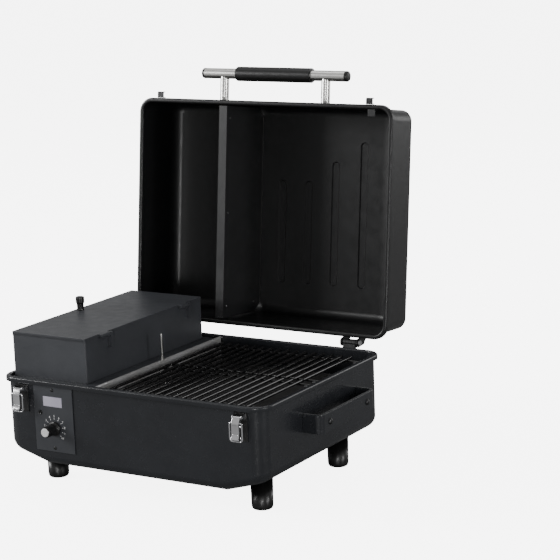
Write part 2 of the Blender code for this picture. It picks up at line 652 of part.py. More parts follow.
# ---------------------------------------------------------------- latches
LATCH_PIN = (-0.0105, 0.1745)      # y, z of the lever's pin
BAIL_PIN = (-0.0165, 0.1665)       # y, z of the bail's pivots in the lever
KEEPER_Z = 0.1965                  # where the bail's bar passes behind the closed lid's keeper


def latches():
    """Two toggle latches on the front wall: plate, lever and wire bail."""
    for sign in (-1, 1):
        side, x = side_name(sign), sign * LATCH_X
        plate = block(f"latch_plate_{side}", (x - 0.0120, -0.0018, 0.1335), (x + 0.0120, -GAP, 0.1800),
                      PLASTIC)
        for i, dx in enumerate((-0.0085, 0.0085)):
            ear = slab(f"ear_{side}_{i}", [(-0.0010, 0.1690)] + [(-0.0010, 0.1800)]
                       + arc(LATCH_PIN, 0.0034, 100, 250,
                             5), "x", x + dx - 0.0007, x + dx + 0.0007, where=HELPERS)
            fuse(plate, ear)
            cut(plate, rod(f"ear_bore_{side}_{i}", (x + dx - 0.002, *LATCH_PIN), (x + dx + 0.002, *LATCH_PIN),
                           0.0019, where=HELPERS))
        latch_lever(side, x)
        latch_bail(side, x)


def latch_lever(side, x):
    """A pressed lever with a flared finger tab; its pin is part of it."""
    (py, pz), (by, bz) = LATCH_PIN, BAIL_PIN
    outline = [(py, pz + 0.0024), (py - 0.0040, pz + 0.0005), (by - 0.0024, bz), (by - 0.0020, 0.1480),
               (by - 0.0058, 0.1405), (by - 0.0046, 0.1397), (by - 0.0004, 0.1474), (by + 0.0004, 0.1500),
               (by + 0.0022, bz - 0.0020), (by + 0.0034, bz + 0.0010), (py + 0.0024, pz)]
    lever = slab(f"latch_lever_{side}", outline, "x", x - 0.0070, x + 0.0070, CHROME)
    fuse(lever, rod(f"lever_pin_{side}", (x - 0.0100, py, pz), (x + 0.0100, py, pz), 0.0015, where=HELPERS,
                    sides=12))
    cut(lever, rod(f"cut_bail_{side}", (x - 0.02, by, bz), (x + 0.02, by, bz), 0.0016, where=HELPERS,
                   sides=12))


def latch_bail(side, x):
    """A rectangular wire loop that hangs from the lever and swings up over the lid's keeper."""
    y, z = BAIL_PIN
    low = z - (KEEPER_Z - z)
    half = 0.0115
    corner = 0.004
    points = [(x - 0.0030, y, z)]
    points += [(x - half + 0.0015, y, z), (x - half, y, z - 0.0015)]
    points += [(x - half + corner * (1 - math.cos(a)), y, low + corner - corner * math.sin(a))
               for a in (0, math.pi / 4, math.pi / 2)]
    points += [(2 * x - px, py, pz) for px, py, pz in reversed(points)]
    bent_rod(f"latch_bail_{side}", points, 0.0012, CHROME)


# ---------------------------------------------------------------- lid hinges
def hinges():
    """Brackets on the body's back wall, their pins, and the arms on the lid."""
    for sign in (-1, 1):
        side, x = side_name(sign), sign * HINGE_X
        wall = BODY_D + GAP
        outline = [(wall, 0.1480), (wall + 0.0020, 0.1480), (wall + 0.0020, 0.1720)]
        outline += arc((PIVOT_Y, PIVOT_Z), 0.0060, -60, 200, 10) + [(wall + 0.0072, 0.1800), (wall, 0.1740)]
        bracket = slab(f"hinge_bracket_{side}", outline, "x", x - 0.0120, x + 0.0120, ZINC)
        cut(bracket, rod(f"cut_bracket_{side}", (x - 0.03, PIVOT_Y, PIVOT_Z), (x + 0.03, PIVOT_Y, PIVOT_Z),
                         0.0033, where=HELPERS))
        pin = rod(f"hinge_pin_{side}", (x - 0.0190, PIVOT_Y, PIVOT_Z), (x + 0.0190, PIVOT_Y, PIVOT_Z),
                  0.0030, ZINC)
        fuse(pin, rod(f"pin_head_{side}", (x + 0.0178, PIVOT_Y, PIVOT_Z), (x + 0.0200, PIVOT_Y, PIVOT_Z),
                      0.0052, where=HELPERS))
        hinge_arm(side, x)


def hinge_arm(side, x):
    """A channel on the lid's back wall whose two ears reach down to the pin."""
    back = LID_Y + LID_D / 2 - LIP_OUT + GAP
    web_z = (LID_Z + 0.0120, LID_Z + 0.0360)
    ear = [(back, web_z[1])] + [(back, web_z[0])] + [(LID_BACK_Y + 0.0012, LID_Z + 0.0105)] \
        + arc((PIVOT_Y, PIVOT_Z), 0.0075, 200, 360, 6) + [(PIVOT_Y + 0.0040, LID_Z + 0.0240),
                                                          (back + 0.004, web_z[1])]
    arm = slab(f"lid_hinge_arm_{side}", [(back, web_z[0]), (back + 0.0020, web_z[0]),
                                         (back + 0.0020, web_z[1]),
                                         (back, web_z[1])], "x", x - 0.0170, x + 0.0170, ZINC)
    for i, dx in enumerate((-0.0154, 0.0154)):
        fuse(arm, slab(f"arm_ear_{side}_{i}", ear, "x", x + dx - 0.0016, x + dx + 0.0016, where=HELPERS))
    cut(arm, rod(f"cut_arm_{side}", (x - 0.03, PIVOT_Y, PIVOT_Z), (x + 0.03, PIVOT_Y, PIVOT_Z), 0.0033,
                 where=HELPERS))
    attach(arm)


# ---------------------------------------------------------------- lid
LID_HINGE = bpy.data.objects.new("lid_hinge_axis", None)
PARTS.objects.link(LID_HINGE)
LID_HINGE.location = (0, PIVOT_Y, PIVOT_Z)
LID_HINGE.rotation_euler = (-math.radians(LID_ANGLE), 0, 0)


def attach(obj):
    """Hangs a piece that is drawn closed on the lid's hinge, with its cutters."""
    for piece in [obj] + [m.object for m in obj.modifiers if m.type == "BOOLEAN"]:
        drawn = piece.matrix_basis.copy()
        piece.parent = LID_HINGE
        piece.matrix_parent_inverse = Matrix.Translation((0, -PIVOT_Y, -PIVOT_Z))
        piece.matrix_basis = drawn


RIBS = ((0.0275, -0.0575, 0.1325), (0.0835, -0.0950, 0.1325), (0.1415, -0.1325, 0.1325))


def capsules(name, radius, low, high):
    """The six pressed ribs of the lid's top, as upright capsules."""
    bm = bmesh.new()
    for x, front, back in RIBS:
        for sx in (-1, 1):
            ends = (front + radius, back - radius)
            ring = [(sx * x + radius * math.cos(a), ends[i] + radius * math.sin(a))
                    for i, first in ((1, 0), (0, math.pi))
                    for a in (first + math.pi * k / 6 for k in range(7))]
            face = bm.faces.new([bm.verts.new((px, py, low)) for px, py in ring])
            made = bmesh.ops.extrude_face_region(bm, geom=[face])["geom"]
            bmesh.ops.translate(bm, vec=(0, 0, high - low),
                                verts=[v for v in made if isinstance(v, bmesh.types.BMVert)])
    obj = from_bmesh(name, bm, None, HELPERS)
    obj.location = (0, LID_Y, LID_Z)
    return obj


def lid():
    """Lid shell with its ribs, the divider in it, keepers, handle posts, bar and grip."""
    half = (LID_W / 2 - LIP_OUT, LID_D / 2 - LIP_OUT)
    shell = pan("lid_shell", half, LID_WALL, LID_TOP, CORNER_R - 0.004, LID_DRAFT)
    shell.rotation_euler = (math.pi, 0, 0)
    shell.location = (0, LID_Y, LID_Z)
    fuse(shell, capsules("rib_bosses", 0.0085, LID_TOP - 0.0010, LID_TOP + 0.0018))
    cut(shell, capsules("rib_hollows", 0.0070, LID_TOP - 0.0050, LID_TOP + 0.0003))
    attach(shell)
    lid_divider()
    for sign in (-1, 1):
        keeper(sign)
        handle_post(sign)
    lid_handle()


def lid_divider():
    """The sheet that closes the hopper side off inside the lid, with a flange at the rim."""
    front, back = LID_Y - LID_D / 2 + LIP_OUT + 0.0040, LID_BACK_Y - LIP_OUT - 0.0040
    low, high, cut_off = LID_Z + 0.0012, LID_Z + LID_TOP - 0.0025, 0.018
    outline = [(front, low), (back, low), (back - LID_DRAFT, high - cut_off), (back - cut_off, high),
               (front + cut_off, high), (front + LID_DRAFT, high - cut_off)]
    sheet = slab("lid_divider", outline, "x", -0.0734, -0.0722, STEEL)
    fuse(sheet, block("lid_flange", (-0.0885, front, low), (-0.0730, back, low + 0.0012), where=HELPERS))
    attach(sheet)


def keeper(sign):
    """The hook on the lid's front rim that a latch's bail pulls on."""
    side, x = side_name(sign), sign * LATCH_X
    face = LID_Y - LID_D / 2 - GAP
    z = LID_Z
    outline = [(face, z + 0.0006), (face, z + 0.0080), (face - 0.0014, z + 0.0080),
               (face - 0.0014, z + 0.0022),
               (face - 0.0098, z + 0.0022), (face - 0.0098, z + 0.0066), (face - 0.0114, z + 0.0066),
               (face - 0.0114, z + 0.0006)]
    attach(slab(f"lid_keeper_{side}", outline, "x", x - 0.0065, x + 0.0065, ZINC))


BAR_Y = LID_Y - LID_D / 2 - 0.047
BAR_Z = LID_Z + 0.0443
BAR_R = 0.0095


def handle_post(sign):
    """A round stand-off between the lid's front wall and the handle bar."""
    side, x = side_name(sign), sign * 0.1055
    wall = LID_Y - LID_D / 2 + LIP_OUT + LID_DRAFT * 0.0443 / LID_WALL
    post = rod(f"handle_post_{side}", (x, wall + 0.0010, BAR_Z), (x, BAR_Y, BAR_Z), 0.0080, STEEL, sides=20)
    tilt = LID_DRAFT / LID_WALL
    seat = block(f"cut_post_{side}", (x - 0.02, wall - GAP, BAR_Z - 0.02),
                 (x + 0.02, wall + 0.02, BAR_Z + 0.02), where=HELPERS)
    for vert in seat.data.vertices:
        if vert.co.y < wall + 0.001:
            vert.co.y += (vert.co.z - BAR_Z) * tilt
    cut(post, rod(f"cut_saddle_{side}", (x - 0.03, BAR_Y, BAR_Z), (x + 0.03, BAR_Y, BAR_Z), BAR_R + GAP,
                  where=HELPERS, sides=24), seat)
    attach(post)


def lid_handle():
    """A steel bar with a rubber grip in the middle and a plug in each end."""
    attach(rod("lid_handle_bar", (-0.1460, BAR_Y, BAR_Z), (0.1460, BAR_Y, BAR_Z), BAR_R, STEEL, sides=24))
    grip = turned("lid_handle_grip", [(0.0120, 0.0775), (0.0132, 0.0755), (0.0132, -0.0755),
                                      (0.0120, -0.0775),
                                      (BAR_R + GAP, -0.0775), (BAR_R + GAP, 0.0775)],
                  (0, BAR_Y, BAR_Z), (1, 0, 0), RUBBER, ring=True)
    attach(grip)
    for sign in (-1, 1):
        attach(turned(f"handle_cap_{side_name(sign)}",
                      [(0, 0.0055), (0.0070, 0.0055), (0.0095, 0.0035), (0.0097, 0),
                                                         (0, 0)],
                      (sign * (0.1460 + GAP), BAR_Y, BAR_Z), (sign, 0, 0), PLASTIC))


# ---------------------------------------------------------------- build
body()
controls()
fire_and_feed()
chamber()
hopper()
latches()
hinges()
lid()


def centre_on_origin():
    """Moves the finished grill along Y so that its box is centred on the origin."""
    bpy.context.view_layer.update()
    graph = bpy.context.evaluated_depsgraph_get()
    reach = []
    for obj in PARTS.objects:
        if obj.type == "MESH":
            shape = obj.evaluated_get(graph)
            reach += [(obj.matrix_world @ vert.co).y for vert in shape.to_mesh().vertices]
            shape.to_mesh_clear()
    middle = (min(reach) + max(reach)) / 2
    for obj in list(PARTS.objects) + list(HELPERS.objects):
        if obj.parent is None:
            obj.matrix_basis = Matrix.Translation((0, -middle, 0)) @ obj.matrix_basis


centre_on_origin()
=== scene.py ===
"""Looks of the pellet smoker grill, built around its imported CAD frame."""
import json
import math

import bmesh
import bpy
from mathutils import Matrix, Vector


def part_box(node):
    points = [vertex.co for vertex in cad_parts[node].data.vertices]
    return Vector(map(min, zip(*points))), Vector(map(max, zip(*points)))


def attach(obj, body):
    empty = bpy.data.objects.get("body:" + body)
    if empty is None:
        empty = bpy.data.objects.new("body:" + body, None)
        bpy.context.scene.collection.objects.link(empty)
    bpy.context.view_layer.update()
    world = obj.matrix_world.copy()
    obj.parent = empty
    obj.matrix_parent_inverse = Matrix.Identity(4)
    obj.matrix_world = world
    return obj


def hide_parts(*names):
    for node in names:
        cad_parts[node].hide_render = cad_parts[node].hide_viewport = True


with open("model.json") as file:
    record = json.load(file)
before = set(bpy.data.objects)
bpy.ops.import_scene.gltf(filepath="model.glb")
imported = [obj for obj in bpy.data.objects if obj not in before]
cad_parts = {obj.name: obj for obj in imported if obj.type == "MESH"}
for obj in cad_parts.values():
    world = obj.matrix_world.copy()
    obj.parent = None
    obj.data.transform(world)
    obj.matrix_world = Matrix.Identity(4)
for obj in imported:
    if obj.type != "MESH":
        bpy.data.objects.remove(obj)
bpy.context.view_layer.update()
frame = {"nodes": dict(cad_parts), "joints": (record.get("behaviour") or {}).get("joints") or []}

# -------------------- places taken from the frame
HINGES = {joint["name"]: joint for joint in frame["joints"]}
GAP = 0.0003                                        # clearance between mating pieces
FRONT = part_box("control_panel")[1].y + GAP          # outer face of the front wall
PIVOT = Vector(HINGES["lid_hinge"]["pos_m"])
LID_ANGLE = math.radians(-HINGES["lid_hinge"]["range_deg"][0])
TUB_LOW, TUB_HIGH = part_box("body_tub")

# -------------------- driving dimensions, in metres
SHEET = 0.0015                                      # wall of the pressed pans
LIP_OUT, LIP_DROP = 0.0065, 0.0085                  # how far the rim stands out and hangs down
ROLL_R, ROLL_STEPS = 0.0030, 5                      # bend between wall and rim
HALF_W = TUB_HIGH.x - LIP_OUT
BODY_D = TUB_HIGH.y - TUB_LOW.y - 2 * LIP_OUT
BODY_CORNER, LID_CORNER = 0.024, 0.020              # upright corners
RIM_Z, END_Z, BELLY_Z = 0.1915, 0.066, TUB_LOW.z    # rim, foot of the end walls, underside
CREASE_X = 0.178                                    # where the underside starts to slope up
EDGE_R = 0.0165                                     # rounding around the underside
AIR_SLOTS, AIR_FIRST, AIR_PITCH, AIR_HALF = 5, 0.292, 0.010, 0.0025
FOOT_TOP = 0.075
STRAP_T, STRAP_R = 0.006, 0.012                     # carrying handle's strip and its bends

SCREW_X, SCREW_INSET = -0.1536, 0.0065              # panel screws
DIAL_STEPS, DIAL_SWEEP, NUMBER_AT = 10, 270, 0.0213
KNOB_H = 0.0265
KNUCKLE_HALF, KNUCKLE_R, KNUCKLE_INSET = 0.0120, 0.0036, 0.0190
BAIL_R = 0.0012

GRATE_X, GRATE_BARS = (-0.0525, 0.2110), 16         # first and last long bar, bars in a half
GRATE_R, CROSS_R = 0.0028, 0.0024

LID_W, LID_D = 0.5255, 0.405
LID_WALL, LID_TOP, LID_DRAFT = 0.103, 0.130, 0.0035
LID_Z = 0.1924                                      # edge of the closed lid
LID_Y = FRONT + 0.3951 - LID_D / 2                  # its middle
RIBS = ((0.0275, -0.0575, 0.1325), (0.0835, -0.0950, 0.1325), (0.1415, -0.1325, 0.1325))
RIB_DEPTH = 0.0018
KEEPER_X = 0.2165
BAR_UP = 0.0443                                     # the handle bar above the closed lid's edge
BAR_Y, BAR_Z = LID_Y - LID_D / 2 - 0.047, LID_Z + BAR_UP
BAR_R, BAR_HALF, GRIP_HALF = 0.0095, 0.1460, 0.0775
POST_X, POST_R = 0.1055, 0.0080


# -------------------- node material helpers
class Nodes:
    """A Principled material being wired up."""

    def __init__(self, name, colour, roughness, metallic=0.0, **extra):
        self.material = bpy.data.materials.new(name)
        self.material.use_nodes = True
        self.material.diffuse_color = (*colour, 1.0)
        self.tree = self.material.node_tree
        self.shader = self.tree.nodes["Principled BSDF"]
        self.shader.inputs["Base Color"].default_value = (*colour, 1.0)
        self.shader.inputs["Roughness"].default_value = roughness
        self.shader.inputs["Metallic"].default_value = metallic
        for key, value in extra.items():
            self.shader.inputs[key.replace("_", " ")].default_value = value
        self.coords = self.tree.nodes.new("ShaderNodeTexCoord").outputs["Object"]

    def link(self, a, b):
        self.tree.links.new(a, b)

    def node(self, kind, **presets):
        """A node with some of its inputs preset."""
        made = self.tree.nodes.new(kind)
        for key, value in presets.items():
            made.inputs[key.replace("_", " ")].default_value = value
        return made

    def stretched(self, scale):
        """Object coordinates scaled by a vector, for brushed marks."""
        node = self.node("ShaderNodeMapping", Scale=scale)
        self.link(self.coords, node.inputs["Vector"])
        return node.outputs["Vector"]

    def noise(self, scale, detail=3.0, coords=None, rough=0.5):
        node = self.node("ShaderNodeTexNoise", Scale=scale, Detail=detail, Roughness=rough)
        self.link(coords or self.coords, node.inputs["Vector"])
        return node.outputs["Fac"]

    def cells(self, scale):
        node = self.node("ShaderNodeTexVoronoi", Scale=scale)
        self.link(self.coords, node.inputs["Vector"])
        return node.outputs["Distance"]

    def ramp(self, fac, *stops):
        """A colour ramp: each stop is (position, colour)."""
        node = self.node("ShaderNodeValToRGB")
        ramp = node.color_ramp
        while len(ramp.elements) < len(stops):
            ramp.elements.new(0.5)
        for element, (position, colour) in zip(ramp.elements, stops):
            element.position = position
            element.color = (*colour, 1.0)
        self.link(fac, node.inputs["Fac"])
        return node.outputs["Color"]

    def spread(self, fac, low, high):
        """Maps a 0..1 texture onto a range."""
        node = self.node("ShaderNodeMapRange", From_Min=0.25, From_Max=0.75, To_Min=low, To_Max=high)
        self.link(fac, node.inputs["Value"])
        return node.outputs["Result"]

    def add(self, a, b, share):
        node = self.node("ShaderNodeMath")
        node.operation = "MULTIPLY_ADD"
        node.inputs[1].default_value = share
        self.link(b, node.inputs[0])
        self.link(a, node.inputs[2])
        return node.outputs["Value"]

    def colour(self, socket):
        self.link(socket, self.shader.inputs["Base Color"])

    def roughness(self, socket):
        self.link(socket, self.shader.inputs["Roughness"])

    def bump(self, height, distance, strength):
        node = self.node("ShaderNodeBump", Distance=distance, Strength=strength)
        self.link(height, node.inputs["Height"])
        self.link(node.outputs["Normal"], self.shader.inputs["Normal"])


def grey(value, blue=0.0):
    return (value, value * (1 + blue * 0.3), value * (1 + blue))


def powder_coat(name, shade, rough, blue, gloss=0.5):
    """Baked powder coat: fine orange peel over a slightly mottled near-black."""
    made = Nodes(name, grey(shade, blue), rough, 0.0, Specular_IOR_Level=gloss)
    blotch = made.noise(14.0, 4.0)
    made.colour(made.ramp(blotch, (0.3, grey(shade * 0.88, blue)), (0.7, grey(shade * 1.12, blue))))
    made.roughness(made.spread(made.noise(60.0, 5.0), rough - 0.05, rough + 0.07))
    peel = made.noise(1500.0, 2.0)
    grain = made.noise(4200.0, 1.0)
    made.bump(made.add(peel, grain, 0.4), 0.00012, 0.55)
    return made.material


def brushed(name, shade, scale, rough):
    """Brushed stainless steel: fine streaks along one direction."""
    made = Nodes(name, grey(shade, -0.04), rough, 1.0)
    streak = made.noise(1.0, 3.0, made.stretched(scale), 0.65)
    made.colour(made.ramp(streak, (0.3, grey(shade * 0.86, -0.05)), (0.7, grey(shade * 1.08, -0.03))))
    made.roughness(made.spread(streak, rough - 0.06, rough + 0.10))
    made.bump(streak, 0.00004, 0.6)
    return made.material


def chrome():
    """Bright plating with faint polishing haze."""
    made = Nodes("chrome_plate", (0.80, 0.80, 0.82), 0.1, 1.0)
    made.roughness(made.spread(made.noise(240.0, 4.0), 0.06, 0.17))
    made.colour(made.ramp(made.noise(30.0, 3.0), (0.3, (0.76, 0.76, 0.78)), (0.7, (0.85, 0.85, 0.87))))
    made.bump(made.noise(900.0, 2.0), 0.00002, 0.3)
    return made.material


def zinc(name, shade):
    """Zinc plating with its dull spangle."""
    made = Nodes(name, grey(shade), 0.38, 1.0)
    cells = made.cells(420.0)
    made.colour(made.ramp(cells, (0.1, grey(shade * 0.8)), (0.8, grey(shade * 1.15, 0.03))))
    made.roughness(made.spread(cells, 0.3, 0.5))
    made.bump(made.noise(1200.0, 3.0), 0.00004, 0.5)
    return made.material


def moulded(name, shade, rough, grain=2600.0, depth=0.00008):
    """Moulded plastic or rubber with a fine pebbled skin."""
    made = Nodes(name, grey(shade), rough, 0.0)
    pebble = made.cells(grain)
    made.colour(made.ramp(made.noise(40.0, 4.0), (0.3, grey(shade * 0.85)), (0.7, grey(shade * 1.2))))
    made.roughness(made.spread(made.noise(300.0, 3.0), rough - 0.08, rough + 0.08))
    made.bump(pebble, depth, 0.6)
    return made.material


def enamel():
    """Black porcelain enamel: glossy, with tiny pits and a faint waviness."""
    made = Nodes("grate_enamel", (0.010, 0.010, 0.011), 0.22, 0.0, Coat_Weight=0.4)
    made.colour(made.ramp(made.noise(90.0, 5.0), (0.35, (0.006, 0.006, 0.007)), (0.7, (0.018, 0.017, 0.017))))
    made.roughness(made.spread(made.noise(420.0, 4.0), 0.14, 0.32))
    made.bump(made.noise(700.0, 3.0), 0.00010, 0.5)
    return made.material


def cast_iron():
    """Sandy cast iron with a light oxide bloom."""
    made = Nodes("cast_iron_pot", (0.05, 0.047, 0.044), 0.72, 0.5)
    made.colour(made.ramp(made.noise(60.0, 6.0), (0.35, (0.035, 0.034, 0.034)),
                          (0.75, (0.085, 0.066, 0.052))))
    made.bump(made.noise(1300.0, 5.0), 0.0003, 0.8)
    return made.material


def dull_sheet(name, shade, rough=0.45, metallic=0.9):
    """Bare aluminised sheet with rolling marks and heat haze."""
    made = Nodes(name, grey(shade), rough, metallic)
    roll = made.noise(1.0, 3.0, made.stretched((900.0, 14.0, 900.0)), 0.6)
    made.colour(made.ramp(made.noise(16.0, 5.0), (0.3, grey(shade * 0.82, -0.05)),
                          (0.7, grey(shade * 1.1, 0.02))))
    made.roughness(made.spread(roll, rough - 0.08, rough + 0.12))
    made.bump(roll, 0.00005, 0.5)
    return made.material


def screen_glass():
    """The pale lavender-grey front of an unlit display."""
    made = Nodes("screen_glass", (0.40, 0.38, 0.46), 0.16, 0.0, Coat_Weight=0.6)
    made.colour(made.ramp(made.noise(25.0, 2.0), (0.3, (0.36, 0.34, 0.42)), (0.7, (0.44, 0.42, 0.50))))
    made.roughness(made.spread(made.noise(500.0, 3.0), 0.12, 0.24))
    return made.material


def printed(name, shade):
    """Screen-printed ink, slightly uneven."""
    made = Nodes(name, grey(shade), 0.55)
    made.colour(made.ramp(made.noise(900.0, 3.0), (0.25, grey(shade * 0.8)), (0.6, grey(shade))))
    made.roughness(made.spread(made.noise(700.0, 3.0), 0.45, 0.65))
    return made.material


MAT = {
    "body": powder_coat("body_coat", 0.0160, 0.24, 0.26),
    # lid coat painted darker than the body coat (0.0060 against 0.0160): painted shade for the shadowed
    # inside of the open lid
    "lid": powder_coat("lid_coat_painted_shade", 0.0060, 0.34, 0.10, 0.40),
    "hopper": powder_coat("hopper_coat", 0.0400, 0.38, 0.20),
    "panel": powder_coat("panel_coat", 0.0380, 0.34, 0.20),
    "plastic": moulded("black_plastic", 0.0060, 0.42),
    "knob": moulded("knob_plastic", 0.0050, 0.32, 3600.0, 0.00004),
    "rubber": moulded("black_rubber", 0.0050, 0.36, 1500.0, 0.00010),
    "foot": moulded("foot_rubber", 0.0080, 0.34, 1900.0, 0.00006),
    "tab": zinc("tab_plate", 0.20),
    "black_screw": moulded("blackened_screw", 0.0060, 0.35, 3000.0, 0.00003),
    "steel_x": brushed("brushed_steel_x", 0.84, (30.0, 2600.0, 2600.0), 0.24),
    "steel_z": brushed("brushed_steel_z", 0.74, (2600.0, 2600.0, 40.0), 0.22),
    "divider": dull_sheet("divider_sheet", 0.42, 0.40, 0.30),
    "chrome": chrome(),
    "zinc": zinc("zinc_plate", 0.46),
    "dark_zinc": zinc("dark_zinc_plate", 0.05),
    "enamel": enamel(),
    "cast": cast_iron(),
    "sheet": dull_sheet("bare_sheet", 0.16),
    "lid_sheet": powder_coat("lid_divider_coat", 0.0160, 0.36, 0.08),
    "screen": screen_glass(),
    "ink": printed("white_ink", 0.85),
    "cap": dull_sheet("spun_cap", 0.80, 0.25, 0.30),
}


# -------------------- mesh helpers
def at_front(x, y, z):
    """A point given from the front wall's outer face, as the fittings on it are."""
    return Vector((x, FRONT + y, z))


OPEN_LID = Matrix.Translation(PIVOT) @ Matrix.Rotation(-LID_ANGLE, 4, "X") @ Matrix.Translation(-PIVOT)


def middle_of(node):
    """Centre of a frame node's box."""
    low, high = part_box(node)
    return (low + high) / 2


def crisp(mesh, degrees):
    """Smooth shading that keeps every edge sharper than an angle."""
    mesh.shade_smooth()
    mesh.set_sharp_from_angle(angle=math.radians(degrees))


def finish_mesh(name, bm, material, smooth=35, matrix=None):
    """Turns a bmesh into an object with outward faces."""
    bmesh.ops.recalc_face_normals(bm, faces=bm.faces[:])
    return link(name, bm, material, smooth, matrix)


def link(name, bm, material, smooth, matrix=None):
    """Puts a bmesh into the scene as it is, with one finish."""
    mesh = bpy.data.meshes.new(name)
    bm.to_mesh(mesh)
    bm.free()
    obj = bpy.data.objects.new(name, mesh)
    bpy.context.scene.collection.objects.link(obj)
    mesh.materials.append(material)
    crisp(mesh, smooth)
    if matrix is not None:
        obj.matrix_world = matrix
    return obj


def block(name, low, high, material, rounding=0.0, matrix=None):
    """A box with softly rounded edges."""
    bm = bmesh.new()
    bmesh.ops.create_cube(bm, size=1.0)
    bmesh.ops.scale(bm, vec=[b - a for a, b in zip(low, high)], verts=bm.verts[:])
    bmesh.ops.translate(bm, vec=[(a + b) / 2 for a, b in zip(low, high)], verts=bm.verts[:])
    if rounding:
        bmesh.ops.bevel(bm, geom=bm.edges[:], offset=rounding, segments=3, profile=0.5, affect="EDGES")
    return finish_mesh(name, bm, material, 40, matrix)


def rod(name, start, end, radius, material, sides=24):
    """A plain cylinder between two points."""
    start, end = Vector(start), Vector(end)
    turn = (end - start).to_track_quat("Z", "Y").to_matrix().to_4x4()
    bm = bmesh.new()
    bmesh.ops.create_cone(bm, cap_ends=True, segments=sides, radius1=radius, radius2=radius,
                          depth=(end - start).length, matrix=Matrix.Translation((start + end) / 2) @ turn)
    return finish_mesh(name, bm, material, 40)


def circle(sides):
    """Points of a unit circle."""
    angles = [2 * math.pi * k / sides for k in range(sides)]
    return [(math.cos(a), math.sin(a)) for a in angles]


def lathe(name, profile, origin, direction, material, sides=48, ring=False, matrix=None):
    """A turned piece: profile points are (radius, height); ring closes the profile on itself."""
    turn = Vector(direction).to_track_quat("Z", "Y").to_matrix().to_4x4()
    bm = bmesh.new()
    loops = []
    for radius, height in profile:
        spokes = circle(sides) if radius > 1e-7 else [(0, 0)]
        loops.append([bm.verts.new((radius * c, radius * s, height)) for c, s in spokes])
    pairs = list(zip(loops, loops[1:]))
    if ring:
        pairs.append((loops[-1], loops[0]))
    for a, b in pairs:
        for k in range(sides):
            j = (k + 1) % sides
            corners = [a[k % len(a)], a[j % len(a)], b[j % len(b)], b[k % len(b)]]
            corners = [v for i, v in enumerate(corners) if v not in corners[:i]]
            if len(corners) > 2:
                bm.faces.new(corners)
    bmesh.ops.transform(bm, matrix=Matrix.Translation(Vector(origin)) @ turn, verts=bm.verts[:])
    return finish_mesh(name, bm, material, 35, matrix)


def skin(bm, rings):
    """Joins rings of points into a closed solid with two end faces."""
    for a, b in zip(rings, rings[1:]):
        for k in range(len(a)):
            j = (k + 1) % len(a)
            bm.faces.new((a[k], a[j], b[j], b[k]))
    bm.faces.new(rings[0])
    bm.faces.new(rings[-1])


def arc(centre, radius, first, last, count):
    """Points on an arc, angles in degrees."""
    steps = [math.radians(first + (last - first) * i / count) for i in range(count + 1)]
    return [(centre[0] + radius * math.cos(a), centre[1] + radius * math.sin(a)) for a in steps]


FACING = {
    "x": Matrix(((0, 0, 1, 0), (1, 0, 0, 0), (0, 1, 0, 0), (0, 0, 0, 1))),
    "y": Matrix(((0, 1, 0, 0), (0, 0, 1, 0), (1, 0, 0, 0), (0, 0, 0, 1))),
    "z": Matrix.Identity(4),
}


def add_line(curve, spots, closed):
    """Straight pieces from point to point on a curve."""
    spline = curve.splines.new("POLY")
    spline.points.add(len(spots) - 1)
    for point, spot in zip(spline.points, spots):
        point.co = (*spot, 1.0)
    spline.use_cyclic_u = closed


def slab(name, outline, axis, low, high, material, rounding=0.0004, holes=(), matrix=None):
    """A flat outline as a solid along an axis: (y, z) for x, (z, x) for y, (x, y) for z."""
    curve = bpy.data.curves.new(name, "CURVE")
    curve.dimensions = "2D"
    curve.fill_mode = "BOTH"
    curve.extrude = max((high - low) / 2 - rounding, 0.0)
    curve.bevel_depth = rounding
    curve.bevel_resolution = 1
    curve.offset = -rounding
    for loop in (outline, *holes):
        add_line(curve, [(a, b, 0.0) for a, b in loop], True)
    place = FACING[axis] @ Matrix.Translation((0, 0, (low + high) / 2))
    return mesh_of(name, curve, material, place, 40, matrix)


def mesh_of(name, curve, material, place, smooth=60, matrix=None):
    """A closed mesh made of a curve."""
    guide = bpy.data.objects.new(name + "_guide", curve)
    bpy.context.scene.collection.objects.link(guide)
    graph = bpy.context.evaluated_depsgraph_get()
    mesh = bpy.data.meshes.new_from_object(guide.evaluated_get(graph))
    bpy.data.objects.remove(guide, do_unlink=True)
    mesh.transform(place)
    bm = bmesh.new()
    bm.from_mesh(mesh)
    bmesh.ops.remove_doubles(bm, verts=bm.verts[:], dist=1e-6)
    return finish_mesh(name, bm, material, smooth, matrix)


def wire(name, points, radius, material):
    """A round wire bent through points."""
    curve = bpy.data.curves.new(name, "CURVE")
    curve.dimensions = "3D"
    curve.bevel_depth = radius
    curve.bevel_resolution = 4
    curve.use_fill_caps = True
    add_line(curve, points, False)
    return mesh_of(name, curve, material, Matrix.Identity(4))


def joined(name, pieces):
    """Several pieces as one mesh, each keeping its own material."""
    bpy.ops.object.select_all(action="DESELECT")
    for piece in pieces:
        piece.select_set(True)
    bpy.context.view_layer.objects.active = pieces[0]
    bpy.ops.object.join()
    pieces[0].name = name
    return pieces[0]


def boolean(obj, other, operation):
    """Adds or takes away another piece."""
    made = obj.modifiers.new("shape", "BOOLEAN")
    made.operation = operation
    made.solver = "EXACT"
    made.object = other


def carve(obj, *cutters):
    """Takes cutters out of a piece for good, then removes them."""
    for cutter in cutters:
        boolean(obj, cutter, "DIFFERENCE")
    graph = bpy.context.evaluated_depsgraph_get()
    mesh = bpy.data.meshes.new_from_object(obj.evaluated_get(graph))
    obj.modifiers.clear()
    obj.data = mesh
    for cutter in cutters:
        bpy.data.objects.remove(cutter, do_unlink=True)
    return obj


def settle(obj, body, slot, *nodes):
    """Rides on a body and stands for CAD nodes; its finish name (slot) is not used. Its place goes into its
    mesh.
    """
    bpy.context.view_layer.update()
    obj.data.transform(obj.matrix_world)
    obj.matrix_world = Matrix.Identity(4)
    weighted = obj.modifiers.new("even_flats", "WEIGHTED_NORMAL")
    weighted.weight = 100
    weighted.keep_sharp = True
    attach(obj, body)
    if nodes:
        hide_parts(*nodes)
    return obj


